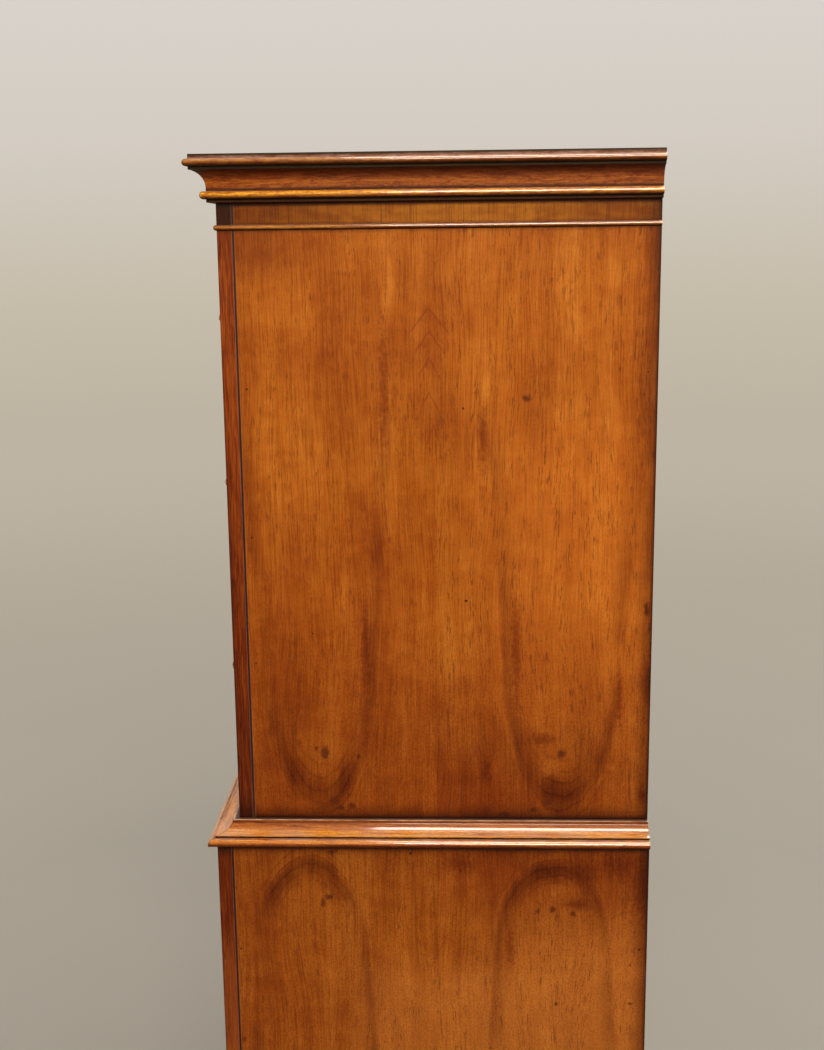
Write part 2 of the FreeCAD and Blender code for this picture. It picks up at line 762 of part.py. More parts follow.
def drawer_nodes():
    nodes = {}
    for name, place in drawer_places().items():
        nodes[f"{name}_drawer_front"] = [front_panel(place)] + cockbeads(place)
        nodes[f"{name}_drawer_box"] = drawer_box(place)
        nodes[f"{name}_drawer_brass"] = drawer_brass(place)
        sides = ("_left", "_right") if len(place.handles) > 1 else ("",)
        for side, x in zip(sides, place.handles):
            nodes[f"{name}_bail{side}"] = [bail(place, x)]
    return nodes


def save(nodes):
    os.makedirs("parts", exist_ok=True)
    for name, solids in nodes.items():
        shape = solids[0] if len(solids) == 1 else Part.makeCompound(solids)
        shape.exportStep(f"parts/{name}.step")


save({**case_nodes(), **moulding_nodes(), **foot_nodes(), **drawer_nodes()})
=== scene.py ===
import math

import bpy
from mathutils import Matrix, Vector


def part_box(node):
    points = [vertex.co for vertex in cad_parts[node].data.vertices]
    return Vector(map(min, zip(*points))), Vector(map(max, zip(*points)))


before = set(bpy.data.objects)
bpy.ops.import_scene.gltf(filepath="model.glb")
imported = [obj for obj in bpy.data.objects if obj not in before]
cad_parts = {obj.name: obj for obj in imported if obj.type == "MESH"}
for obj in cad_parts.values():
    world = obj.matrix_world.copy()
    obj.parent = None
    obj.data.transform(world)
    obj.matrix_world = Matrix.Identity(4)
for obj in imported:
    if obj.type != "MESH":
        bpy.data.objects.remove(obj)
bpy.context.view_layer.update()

# Chest on chest in walnut: polished veneers, dark mouldings, oak drawer linings, old brass.
# Positions inside the finishes are in millimetres, taken from each piece where it stands at rest.
# Colours are red, green and blue from 0 to 255, as the eye sees them.

scene = bpy.context.scene

# ---- Where things are on the chest, in millimetres ----
MM = 1000.0                     # millimetres in a metre
CORNICE_TOP = 1475.0
UPPER_FRONT = -191.25
LOWER_FRONT = -212.25
CHEST_BACK = 238.75
UPPER_HALF = 359.0
LOWER_HALF = 380.0
STILE_DEPTH = 15.0
STRING_WIDTH = 1.3
CORNICE_FOOT = 1428.67
ASTRAGAL_FOOT = 1403.27
ASTRAGAL_MIDDLE = ASTRAGAL_FOOT + 2.7
WAIST_FOOT = 773.5
WAIST_HEAD = 794.0
CASES_MEET = WAIST_FOOT + 8.0   # behind the waist moulding, where the front steps back
PLINTH_FOOT = 110.0
PLINTH_HEAD = 132.0
SEAM = 210.0                    # middle joint of the side veneers, behind the front of the upper case
BEAD_WIDTH = 3.0                # cockbead round a drawer front
BEAD_PROUD = 1.6
BAND_WIDTH = 27.0               # crossband and feather stringing of a drawer front
STRINGING = 24.0                # middle of the stringing, in from the edge
LINING_THICKNESS = 10.0         # sides of a drawer box
FOOT_THICKNESS = 8.9            # show wood of a bracket foot
ORIGIN = (0.0, 0.0, 0.0)
WHITE = (1.0, 1.0, 1.0, 1.0)


def tone(colour):
    """A colour as the eye sees it, turned into the share of light that it sends back. A socket stays as
    it is."""
    if not isinstance(colour, tuple):
        return colour
    shares = []
    for part in colour:
        part /= 255.0
        shares.append(part / 12.92 if part <= 0.04045 else ((part + 0.055) / 1.055) ** 2.4)
    return (*shares, 1.0)


# ---- Wiring of the finishes ----
class Wiring:
    """Adds nodes to a finish or to a shared effect. Each call hands back the socket that it makes."""

    def __init__(self, tree):
        self.tree = tree

    def feed(self, socket, value):
        if isinstance(value, bpy.types.NodeSocket):
            self.tree.links.new(value, socket)
        elif value is not None:
            socket.default_value = value

    def add(self, kind, *values, out=0, **settings):
        node = self.tree.nodes.new("ShaderNode" + kind)
        for name, value in settings.items():
            setattr(node, name, value)
        for socket, value in zip(node.inputs, values):
            self.feed(socket, value)
        return node.outputs[out]

    def maths(self, operation, *values):
        return self.add("Math", *values, operation=operation)

    def plus(self, a, b):
        return self.maths("ADD", a, b)

    def minus(self, a, b):
        return self.maths("SUBTRACT", a, b)

    def times(self, a, b):
        return self.maths("MULTIPLY", a, b)

    def largest(self, a, b):
        return self.maths("MAXIMUM", a, b)

    def smallest(self, a, b):
        return self.maths("MINIMUM", a, b)

    def size(self, value):
        return self.maths("ABSOLUTE", value)

    def ease(self, value, low, high):
        """0 below low, 1 above high, smooth between. Where low is the higher one, it falls instead."""
        return self.add("MapRange", value, low, high, 0.0, 1.0, interpolation_type="SMOOTHSTEP")

    def rise(self, value, low, high):
        return self.add("MapRange", value, low, high, 0.0, 1.0)

    def split(self, vector):
        node = self.tree.nodes.new("ShaderNodeSeparateXYZ")
        self.feed(node.inputs[0], vector)
        return node.outputs[0], node.outputs[1], node.outputs[2]

    def join(self, x, y, z):
        return self.add("CombineXYZ", x, y, z)

    def shift(self, vector, step):
        return self.add("VectorMath", vector, step, operation="ADD")

    def noise(self, vector, grain, detail, wobble=0.0):
        """Soft variation, 0 to 1, whose blots measure about grain in each direction."""
        node = self.tree.nodes.new("ShaderNodeTexNoise")
        scale = tuple(1.0 / g for g in grain)
        self.feed(node.inputs["Vector"], self.add("VectorMath", vector, scale, operation="MULTIPLY"))
        node.inputs["Scale"].default_value = 1.0
        node.inputs["Detail"].default_value = detail
        node.inputs["Distortion"].default_value = wobble
        return node.outputs[0]

    def mix(self, amount, under, over, share=None, blend="MIX"):
        """The second colour over the first, where amount is 1. share weakens it all over."""
        node = self.tree.nodes.new("ShaderNodeMix")
        node.data_type = "RGBA"
        node.blend_type = blend
        self.feed(node.inputs[0], amount if share is None else self.times(amount, share))
        self.feed(node.inputs[6], tone(under))
        self.feed(node.inputs[7], tone(over))
        return node.outputs[2]

    def darken(self, amount, colour, by, share=None):
        return self.mix(amount, colour, by, share, "MULTIPLY")

    def ramp(self, value, *stops):
        node = self.tree.nodes.new("ShaderNodeValToRGB")
        self.feed(node.inputs[0], value)
        marks = node.color_ramp.elements
        while len(marks) < len(stops):
            marks.new(0.5)
        for mark, (place, colour) in zip(marks, stops):
            mark.position = place
            mark.color = tone(colour)
        return node.outputs[0]

    def use(self, effect, **values):
        """Places a shared effect and hands back its results by name."""
        node = self.tree.nodes.new("ShaderNodeGroup")
        node.node_tree = effect
        for name, value in values.items():
            self.feed(node.inputs[name.replace("_", " ")], value)
        return {socket.name: socket for socket in node.outputs}

    def spot(self):
        """Where the point is on the piece at rest, in millimetres."""
        place = self.add("TexCoord", out="Object")
        return self.add("VectorMath", place, (MM, MM, MM), operation="MULTIPLY")

    def facing(self):
        return self.split(self.add("TexCoord", out="Normal"))

    def strength(self, colour):
        """How bright a colour is, as one number."""
        return self.add("RGBToBW", colour)

    def either(self, choice, first, second):
        """The first direction where choice is 0, the second where it is 1."""
        node = self.tree.nodes.new("ShaderNodeMix")
        node.data_type = "VECTOR"
        for number, value in ((0, choice), (4, first), (5, second)):
            self.feed(node.inputs[number], value)
        return node.outputs[1]

    def close(self, kind, surface):
        """Hands the surface to the output of a material or of the world."""
        self.feed(self.tree.nodes.new("ShaderNodeOutput" + kind).inputs["Surface"], surface)


def effect(name, inputs, outputs):
    """An empty shared effect: its tree, its wiring, the place that it is given in its input Vector, its
    other inputs by name and what sends a result out."""
    tree = bpy.data.node_groups.new(name, "ShaderNodeTree")
    kinds = {float: "NodeSocketFloat", tuple: "NodeSocketVector"}
    inputs = {"Vector": ORIGIN, **inputs}
    for label, value in inputs.items():
        socket = tree.interface.new_socket(label, in_out="INPUT", socket_type=kinds[type(value)])
        socket.default_value = value
    for label in outputs:
        tree.interface.new_socket(label, in_out="OUTPUT", socket_type="NodeSocketFloat")
    source = tree.nodes.new("NodeGroupInput")
    target = tree.nodes.new("NodeGroupOutput")
    wiring = Wiring(tree)
    given = {label: source.outputs[label] for label in inputs}

    def send(label, value):
        wiring.feed(target.inputs[label], value)

    return tree, wiring, given["Vector"], given, send


# ---- Shared effects ----
def make_grain():
    """Walnut grain running along the third axis: broad tone, fine streaks, pores, cross mottle."""
    tree, w, spot, given, send = effect("walnut grain", {"Seed": 0.0},
                                        ("Tone", "Streak", "Pores", "Mottle", "Height"))
    seed = given["Seed"]
    start = w.join(w.times(seed, 137.0), w.times(seed, 71.0), w.times(seed, 911.0))
    place = w.shift(spot, start)
    across, deep, along = w.split(place)
    wander = w.times(w.minus(w.noise(place, (85, 85, 230), 1), 0.5), 26.0)
    bent = w.join(w.plus(across, wander), deep, along)
    send("Tone", w.noise(bent, (24, 24, 330), 3))
    streak = w.noise(bent, (1.2, 1.2, 52), 2)
    send("Streak", streak)
    dashes = w.ease(w.noise(bent, (0.9, 0.9, 11), 1), 0.57, 0.65)
    crowd = w.ease(w.noise(bent, (8, 8, 70), 1), 0.36, 0.62)
    pores = w.times(dashes, crowd)
    send("Pores", pores)
    send("Mottle", w.noise(place, (17, 17, 15), 2, 0.4))
    send("Height", w.minus(w.times(streak, 0.012), w.times(pores, 0.03)))
    return tree


def make_ring():
    """Smoky bands of an oval figure that closes downwards: Vector is across, 0, down from its middle."""
    tree, w, spot, given, send = effect(
        "smoky ring", {"Half Width": 57.0, "Half Height": 187.0, "Flare": 0.08},
        ("Band", "Lines", "Inside"))
    across, _, down = w.split(spot)
    closing = w.maths("DIVIDE", w.largest(down, 0.0), given["Half Height"])
    open_run = w.largest(w.times(down, -1.0), 0.0)
    half = w.plus(given["Half Width"], w.times(given["Flare"], open_run))
    sideways = w.maths("DIVIDE", across, half)
    radius = w.maths("SQRT", w.plus(w.times(sideways, sideways), w.times(closing, closing)))
    slow = w.minus(w.noise(spot, (80, 80, 110), 1), 0.5)
    quick = w.minus(w.noise(spot, (9, 9, 26), 1), 0.5)
    radius = w.plus(radius, w.plus(w.times(slow, 0.15), w.times(quick, 0.05)))
    near_end = w.ease(closing, 0.25, 0.95)
    patchy = w.rise(w.noise(spot, (38, 38, 60), 1), 0.25, 0.62)
    fade = w.ease(open_run, 360, 120)
    band = w.times(w.ease(radius, 0.74, 0.99), w.ease(radius, 1.1, 1.0))
    strength = w.plus(0.58, w.times(near_end, 0.42))
    send("Band", w.times(w.times(band, fade), w.times(patchy, strength)))
    waves = w.maths("SINE", w.times(radius, 78.0))
    near_band = w.times(w.ease(radius, 0.62, 0.8), w.ease(radius, 1.26, 1.08))
    ridge = w.times(w.ease(waves, 0.55, 1.0), near_band)
    send("Lines", w.times(ridge, w.times(near_end, patchy)))
    send("Inside", w.times(w.ease(radius, 0.92, 0.55), near_end))
    return tree


def make_knot():
    """A small round mark: a pin knot, a filled hole or a blot. Stretch draws it out along the grain, and
    Before is the mask of the marks made earlier."""
    tree, w, spot, given, send = effect(
        "small mark", {"Place": ORIGIN, "Radius": 2.0, "Stretch": 1.0, "Edge": 0.5, "Before": 0.0},
        ("Mark",))
    away = w.add("VectorMath", spot, given["Place"], operation="SUBTRACT")
    across, _, down = w.split(away)
    ragged = w.minus(w.noise(spot, (4, 4, 5), 3), 0.5)
    flat = w.join(across, 0.0, w.maths("DIVIDE", down, given["Stretch"]))
    reach = w.maths("DIVIDE", w.add("VectorMath", flat, operation="LENGTH", out="Value"), given["Radius"])
    reach = w.plus(reach, w.times(ragged, 1.3))
    inner = w.minus(1.0, given["Edge"])
    send("Mark", w.largest(given["Before"], w.ease(reach, 1.0, inner)))
    return tree


def make_tip():
    """A cathedral tip in the grain: a thin pointed line whose legs run down and apart."""
    tree, w, spot, given, send = effect(
        "grain tip", {"Place": ORIGIN, "Slope": 1.5, "Reach": 14.0, "Before": 0.0}, ("Mark",))
    away = w.add("VectorMath", spot, given["Place"], operation="SUBTRACT")
    across, _, down = w.split(away)
    shake = w.times(w.minus(w.noise(spot, (4, 4, 14), 2), 0.5), 3.5)
    leg = w.size(w.plus(across, shake))
    line = w.size(w.minus(down, w.times(leg, given["Slope"])))
    thin = w.ease(line, 2.6, 0.4)
    kept = w.ease(leg, given["Reach"], w.times(given["Reach"], 0.4))
    send("Mark", w.largest(given["Before"], w.times(thin, kept)))
    return tree


def make_dirt_and_shade():
    """Wax and dirt gathered along an edge, also laid as painted shade under mouldings and beside parts.
    Distance is from the edge, Reach is how far it spreads.
    """
    tree, w, spot, given, send = effect("gathered dirt and painted shade", {"Distance": 0.0, "Reach": 10.0}, ("Grime",))
    patchy = w.plus(0.55, w.times(w.noise(spot, (24, 24, 24), 3), 0.9))
    ragged = w.plus(0.8, w.times(w.noise(spot, (2.5, 2.5, 2.5), 2), 0.4))
    reach = w.times(given["Reach"], w.times(patchy, ragged))
    send("Grime", w.times(w.ease(given["Distance"], reach, 0.0), w.ease(given["Distance"], -0.6, 0.0)))
    return tree


def make_polish():
    """French polish rubbed by hand: cloudy gloss with faint smears, and a slow ripple."""
    tree, w, spot, given, send = effect("hand polish", {"Roughness": 0.3}, ("Roughness", "Ripple"))
    cloud = w.minus(w.noise(spot, (55, 55, 70), 2), 0.5)
    smear = w.minus(w.noise(spot, (6, 6, 28), 2, 1.0), 0.5)
    send("Roughness", w.plus(given["Roughness"], w.plus(w.times(cloud, 0.16), w.times(smear, 0.1))))
    send("Ripple", w.times(w.noise(spot, (7, 7, 11), 1), 0.035))
    return tree


def make_dust():
    """Pale dust that lies on faces that look up, thinner where hands and cloths reach."""
    tree, w, spot, given, send = effect("lying dust", {"Amount": 0.5}, ("Dust",))
    lying = w.ease(w.facing()[2], 0.72, 0.98)
    patchy = w.rise(w.noise(spot, (38, 38, 20), 3), 0.3, 0.68)
    specks = w.ease(w.noise(spot, (1.6, 1.6, 1.6), 1), 0.52, 0.7)
    cover = w.plus(w.times(patchy, 0.75), w.times(specks, 0.45))
    send("Dust", w.times(w.times(lying, given["Amount"]), cover))
    return tree


def make_patina():
    """Old brass: tarnish clouds, dark grime in the hollows and rubbed high places."""
    tree, w, spot, _, send = effect("old brass", {}, ("Tarnish", "Grime", "Rubbed"))
    send("Tarnish", w.rise(w.noise(spot, (7, 7, 7), 3), 0.32, 0.7))
    hollow = w.add("AmbientOcclusion", out="AO", samples=8, only_local=True)
    hollow.node.inputs["Distance"].default_value = 0.006
    broken = w.plus(0.65, w.times(w.noise(spot, (2.2, 2.2, 2.2), 2), 0.7))
    send("Grime", w.times(w.ease(hollow, 0.8, 0.35), broken))
    send("Rubbed", w.ease(w.noise(spot, (11, 11, 11), 2), 0.44, 0.66))
    return tree


def make_plain_wood():
    """Plain woods of the lining, grain along the third axis. Board is the width of a board, Off how far
    its middle lies from the heart of the tree: year rings draw arches near it, straight lines far off."""
    tree, w, spot, given, send = effect(
        "lining wood", {"Seed": 0.0, "Ring": 9.0, "Board": 170.0, "Off": 0.0},
        ("Rings", "Fibre", "Flecks", "Shade", "Joint"))
    seed = given["Seed"]
    start = w.join(w.times(seed, 97.0), w.times(seed, 53.0), w.times(seed, 613.0))
    place = w.shift(spot, start)
    across = w.split(place)[0]
    boards = w.maths("DIVIDE", across, given["Board"])
    number = w.maths("FLOOR", boards)
    share = w.minus(boards, number)
    chance = w.add("TexWhiteNoise", number, noise_dimensions="1D")
    own = w.shift(place, w.join(w.times(number, 31.0), 0.0, w.times(chance, 900.0)))
    middle = w.plus(w.times(w.minus(share, 0.5), given["Board"]), w.times(w.minus(chance, 0.5), 50.0))
    depth = w.plus(12.0, w.times(w.noise(own, (170, 170, 620), 1), 90.0))
    middle = w.plus(middle, given["Off"])
    heart = w.maths("SQRT", w.plus(w.times(middle, middle), w.times(depth, depth)))
    wobble = w.times(w.noise(own, (16, 16, 240), 2), 0.55)
    spacing = w.plus(0.75, w.times(w.noise(w.join(heart, seed, number), (22, 9, 9), 1), 0.5))
    turn = w.plus(w.maths("DIVIDE", heart, w.times(given["Ring"], spacing)), wobble)
    saw = w.maths("FRACT", turn)
    send("Rings", w.times(w.ease(saw, 0.25, 0.94), w.ease(saw, 1.0, 0.94)))
    send("Fibre", w.noise(place, (1.1, 1.1, 45), 2))
    send("Flecks", w.ease(w.noise(place, (1.3, 1.3, 9), 1), 0.64, 0.76))
    send("Shade", chance)
    edge = w.times(w.smallest(share, w.minus(1.0, share)), given["Board"])
    send("Joint", w.ease(edge, 0.9, 0.3))
    return tree


GRAIN = make_grain()
RING = make_ring()
KNOT = make_knot()
TIP = make_tip()
DIRT_AND_SHADE = make_dirt_and_shade()
POLISH = make_polish()
DUST = make_dust()
PATINA = make_patina()
LINING = make_plain_wood()


# ---- Finishes ----
def finish(recipe):
    """Turns the recipe below it into a maker of that finish, which takes the name of the material first."""
    def maker(name, *details, **more):
        material = bpy.data.materials.new(name)
        material.use_nodes = True
        material.node_tree.nodes.clear()
        recipe(Wiring(material.node_tree), *details, **more)
        return material
    return maker


AMBER = (1.0, 0.72, 0.4, 1.0)   # tint of the shine of old shellac
SHELLAC_IOR = 1.27
RELIEF = 0.001                  # what a height of 1 stands for, in metres


def close_finish(w, colour, roughness, height, **fixed):
    """The surface itself. A number that is the same all over is set on its socket, not wired to it."""
    skin = w.tree.nodes.new("ShaderNodeBsdfPrincipled")
    w.feed(skin.inputs["Base Color"], colour)
    w.feed(skin.inputs["Roughness"], roughness)
    for label, value in fixed.items():
        w.feed(skin.inputs[label.replace("_", " ")], value)
    bump = w.tree.nodes.new("ShaderNodeBump")
    bump.inputs["Distance"].default_value = RELIEF
    w.feed(bump.inputs["Height"], height)
    w.feed(skin.inputs["Normal"], bump.outputs[0])
    w.close("Material", skin.outputs[0])


def polished(w, colour, place, roughness, height, coat, coat_roughness=0.16):
    shine = w.use(POLISH, Vector=place, Roughness=roughness)
    close_finish(w, colour, shine["Roughness"], w.plus(height, shine["Ripple"]),
                 Coat_Weight=coat, Coat_Roughness=coat_roughness, IOR=SHELLAC_IOR, Specular_Tint=AMBER)


def wood_colour(w, grain, dark, middle, light, last=0.78):
    """Ground colour of a wood, from the broad tone of its grain."""
    return w.ramp(grain["Tone"], (0.25, dark), (0.5, middle), (last, light))


def add_fibre(w, colour, grain, streak, depth, pore):
    """Fine streaks, then pores. depth is how dark the pores are."""
    colour = w.darken(w.rise(grain["Streak"], 0.6, 0.3), colour, streak)
    return w.mix(grain["Pores"], colour, pore, depth)


def dirt_and_shade_by_mouldings(w, place, colour, *reaches):
    """Dirt and painted shade under the cornice, beside the astragal, over and under the waist, and over
    the plinth.
    """
    z = w.split(place)[2]
    edges = (w.minus(CORNICE_FOOT, z), w.size(w.minus(z, ASTRAGAL_MIDDLE)), w.minus(z, WAIST_HEAD),
             w.minus(WAIST_FOOT, z), w.minus(z, PLINTH_HEAD))
    for distance, reach in zip(edges, reaches):
        # dirt with painted shade where the mouldings overhang
        grime = w.use(DIRT_AND_SHADE, Vector=place, Distance=distance, Reach=reach)["Grime"]
        colour = w.darken(grime, colour, (120, 84, 70), 0.9)
    return colour


def plain_core(w, run, seed, pale, dark, fibre=None):
    """Bare wood behind the show wood, its grain along the third axis of run."""
    lining = w.use(LINING, Vector=run, Seed=seed, Ring=5.0, Off=70.0)
    plain = w.ramp(lining["Rings"], (0.0, pale), (1.0, dark))
    if fibre:
        plain = w.darken(w.rise(lining["Fibre"], 0.62, 0.3), plain, fibre)
    return plain


def case_face(w, z):
    """Where the front of the case is at this height, and 1 on the upper case."""
    upper = w.ease(z, CASES_MEET, CASES_MEET + 1.0)
    return w.plus(LOWER_FRONT, w.times(upper, UPPER_FRONT - LOWER_FRONT)), upper


# Marks on the right-hand side: distance behind the upper front, distance below the cornice top, radius,
# and how much longer than wide.
UPPER_MARKS = {
    "smoke": ((160, 225, 9, 9), (258, 280, 8, 7), (137, 497, 7, 14), (292, 495, 8, 11),
        (320, 593, 21, 0.5), (398, 548, 6, 9), (426, 532, 11, 3.4), (424, 654, 11, 1.6),
        (261, 627, 9, 2.8)),
    "glows": ((327, 624, 17, 0.8), (392, 624, 6, 0.9)),
    "knots": ((93, 608, 6, 1.8), (84, 603, 3, 1.2), (339, 609, 6, 1.1), (102, 662, 7, 1),
        (108, 669, 5, 0.8), (120, 667, 5.5, 1), (326, 663, 7.5, 0.8), (310, 671, 4.5, 1),
        (280, 676, 8, 0.6), (301.5, 237, 6, 0.9), (424, 453, 4, 2.6), (128, 612, 3, 1.4)),
    "holes": ((238.7, 246.6, 1.3, 1), (24, 226, 1.2, 1), (24, 377, 1.3, 1), (240.9, 443.8, 1.8, 1),
        (83.2, 478.2, 1.1, 1), (23.7, 510.3, 1, 1), (420.3, 211.7, 1.2, 1), (168.5, 55.2, 1.7, 1),
        (299.8, 55.3, 1.7, 1), (419.1, 54.1, 1.7, 1))}
LOWER_MARKS = {
    "smoke": ((352, 731, 56, 0.36), (286, 820, 8, 7), (424, 749, 26, 2.2), (402, 724, 40, 0.7),
        (232, 722, 26, 0.8), (356, 768, 22, 0.5), (-19, 931, 6, 1), (-1, 929, 6, 1)),
    "glows": ((332, 753, 7, 1.3), (420, 850, 16, 1.4)),
    "knots": ((95, 761, 8, 0.5), (89, 768, 3.4, 2.4), (99, 710, 5, 0.8), (331, 774, 5.5, 1),
        (352, 779, 5, 1), (315, 776, 4, 1), (335, 883, 2.8, 1.3), (414, 882, 4, 0.6)),
    "holes": ((181.9, 711.2, 1.5, 1), (-0.4, 821.6, 1.3, 1), (412.8, 836.8, 1.3, 1),
        (421.8, 819.3, 1.6, 1), (265.5, 936, 1.3, 1))}

# Smoky horseshoes: which way they close, their distance below the cornice top and their height, then
# the distance behind the upper front and the half width of each.
UPPER_RINGS = (1.0, 500.0, 162.0, ((88.9, 57.0), (339.0, 58.6)))
LOWER_RINGS = (-1.0, 836.0, 114.0, ((76.0, 58.0), (330.0, 59.0)))

# Cathedral tips: the same two distances, how steep the legs run and how far apart they reach.
UPPER_TIPS = (
    (205, 148, 1.25, 26), (205.5, 171, 1.4, 20), (205, 196, 1.9, 15), (205, 230, 2.2, 14),
    (209, 262, 3, 11))


def spread_marks(w, flat, marks, edge):
    """One mask of several small marks on a side. edge is the soft share of each."""
    mark = 0.0
    for across, below, radius, stretch in marks:
        mark = w.use(KNOT, Vector=flat, Place=(across, 0.0, below), Radius=radius, Stretch=stretch,
                     Edge=edge, Before=mark)["Mark"]
    return mark


@finish
def side_veneer(w, seed, upper, marked):
    """Book-matched walnut on the side of a case. marked adds the marks of the right-hand side."""
    place = w.spot()
    _, y, z = w.split(place)
    back = w.minus(y, UPPER_FRONT)
    down = w.minus(CORNICE_TOP, z)
    flat = w.join(back, 0.0, down)
    from_seam = w.minus(back, SEAM)
    right_leaf = w.ease(from_seam, -0.4, 0.4)
    leaf = w.join(w.size(from_seam), w.times(right_leaf, 6.0), z)
    grain = w.use(GRAIN, Vector=leaf, Seed=seed)
    colour = wood_colour(w, grain, (158, 82, 16), (173, 94, 22), (189, 111, 34), 0.75)
    colour = w.darken(w.rise(grain["Streak"], 0.6, 0.34), colour, (220, 202, 184))
    colour = w.darken(w.rise(grain["Mottle"], 0.62, 0.36), colour, (240, 228, 214))
    slow = w.noise(flat, (80, 80, 120), 2)
    colour = w.darken(w.rise(slow, 0.6, 0.36), colour, (230, 214, 196))

    # Smoky horseshoes of the figure, one in each leaf.
    sign, middle, tall, spots = UPPER_RINGS if upper else LOWER_RINGS
    smoke, lines, inside = 0.0, 0.0, 0.0
    for number, (centre, half) in enumerate(spots):
        away = w.join(w.minus(back, centre), number * 300.0, w.times(w.minus(down, middle), sign))
        ring = w.use(RING, Vector=away, Half_Width=half, Half_Height=tall)
        smoke = w.largest(smoke, ring["Band"])
        lines = w.largest(lines, ring["Lines"])
        inside = w.largest(inside, ring["Inside"])
    if upper:
        left_leaf = w.times(w.minus(1.0, right_leaf), w.ease(down, 240, 460))
        colour = w.darken(left_leaf, colour, (238, 218, 196), 0.6)
        orange = w.times(w.ease(down, 200, 340), w.ease(down, 650, 540))
        orange = w.times(w.ease(from_seam, 0.0, 100), orange)
        colour = w.mix(orange, colour, (222, 120, 40), 0.16)
        foot = w.times(right_leaf, w.times(w.ease(down, 540, 640), w.ease(from_seam, 240, 0.0)))
        colour = w.darken(foot, colour, (212, 178, 158), 0.85)
        # Painted shade: the upper side darker towards its bottom.
        low = w.times(w.ease(down, 430, 680), 0.55)
        corner = w.times(w.ease(down, 140, 90), w.ease(back, 110, 20))
        colour = w.darken(corner, colour, (208, 188, 180))
    else:
        bright = w.times(w.ease(w.size(from_seam), 110, 60), w.ease(down, 815, 870))
        colour = w.mix(bright, colour, (204, 122, 48), 0.3)
        light = w.times(w.ease(from_seam, 10, 130), w.ease(down, 720, 860))
        colour = w.mix(light, colour, (204, 122, 48), 0.4)
        red = w.times(right_leaf, w.ease(down, 800, 720))
        colour = w.darken(red, colour, (226, 190, 168), 0.6)
        # The lower side a little darker all over, and more under the waist as painted shade.
        low = w.plus(0.12, w.times(w.ease(down, 880, 740), 0.28))
    colour = w.mix(inside, colour, (196, 120, 36), 0.2)
    colour = w.darken(smoke, colour, (170, 138, 112), 0.95)
    colour = w.darken(lines, colour, (176, 142, 114), 0.55)
    colour = w.darken(low, colour, (204, 180, 156))
    marks = UPPER_MARKS if upper else LOWER_MARKS
    if marked:
        soft = spread_marks(w, flat, marks["smoke"], 0.98)
        colour = w.darken(soft, colour, (184, 144, 124), 0.85)
        glow = spread_marks(w, flat, marks["glows"], 0.98)
        colour = w.mix(glow, colour, (196, 110, 34), 0.3)

    # Leathery speckle, pores, cathedral tips, knots and pinholes.
    leathery = w.rise(w.noise(flat, (1.9, 1.9, 2.3), 2, 0.3), 0.56, 0.38)
    speckled = w.plus(0.25, w.times(w.ease(down, 380, 640), 0.35))
    colour = w.darken(w.times(leathery, speckled), colour, (206, 180, 156))
    colour = w.mix(grain["Pores"], colour, (88, 36, 10), 0.62)
    if upper:
        mark = 0.0
        for across, below, slope, reach in UPPER_TIPS:
            mark = w.use(TIP, Vector=flat, Place=(across, 0.0, below), Slope=slope, Reach=reach,
                         Before=mark)["Mark"]
        colour = w.mix(mark, colour, (112, 44, 12), 0.65)
    if marked:
        knots = spread_marks(w, flat, marks["knots"], 0.75)
        colour = w.mix(knots, colour, (78, 28, 8), 0.85)
        holes = spread_marks(w, flat, marks["holes"], 0.4)
        colour = w.mix(holes, colour, (40, 16, 8), 0.9)

    # The frieze; dirt and painted shade along the mouldings and the back edge; a painted glint beside the
    # string.
    if upper:
        # The side frieze is coloured darker than the panel, partly as painted shade under the cornice, and
        # darker towards both ends.
        frieze = w.ease(down, 72, 70)
        fine = w.ease(w.noise(place, (0.9, 0.9, 40), 1), 0.5, 0.68)
        pale = w.mix(fine, (170, 100, 20), (90, 40, 8), 0.6)
        patch = w.rise(w.noise(flat, (26, 26, 9), 3, 0.6), 0.6, 0.36)
        pale = w.darken(patch, pale, (198, 168, 140), 0.7)
        colour = w.mix(frieze, colour, pale, 0.75)
        ends = w.largest(w.ease(back, 240, 10), w.times(w.ease(back, 280, 400), 0.8))
        colour = w.darken(w.times(frieze, ends), colour, (196, 168, 136))
        edges = ((w.minus(CORNICE_FOOT, z), 4.5), (w.size(w.minus(z, ASTRAGAL_MIDDLE)), 6.5),
                 (w.minus(z, WAIST_HEAD), 20.0), (w.minus(z, WAIST_HEAD), 5.5))
    else:
        edges = ((w.minus(WAIST_FOOT, z), 15.0), (w.minus(WAIST_FOOT, z), 9.0),
                 (w.minus(z, PLINTH_HEAD), 16.0))
    behind = w.minus(CHEST_BACK, y)
    # Dirt and painted shade along the mouldings, and dirt and shade along the back edge.
    for distance, reach in edges + ((behind, 22.0), (behind, 4.0)):
        grime = w.use(DIRT_AND_SHADE, Vector=place, Distance=distance, Reach=reach)["Grime"]
        colour = w.darken(grime, colour, (130, 92, 70), 0.95 if reach < 10.0 else 0.75)
    case_front = UPPER_FRONT if upper else LOWER_FRONT
    # Dirt and painted shade on the veneer beside the stile's edge.
    near_string = w.use(DIRT_AND_SHADE, Vector=place, Distance=w.minus(y, case_front + STILE_DEPTH), Reach=5.0)
    colour = w.darken(near_string["Grime"], colour, (150, 112, 90), 0.35)
    edge = w.minus(y, case_front + STILE_DEPTH + STRING_WIDTH)
    # A painted glint on the veneer's arris beside the string, then a dark edge that widens the string's
    # line.
    colour = w.mix(w.ease(edge, 1.8, 1.2), colour, (208, 124, 52), 0.15)
    colour = w.mix(w.ease(edge, 0.95, 0.5), colour, (40, 18, 10), 0.85)

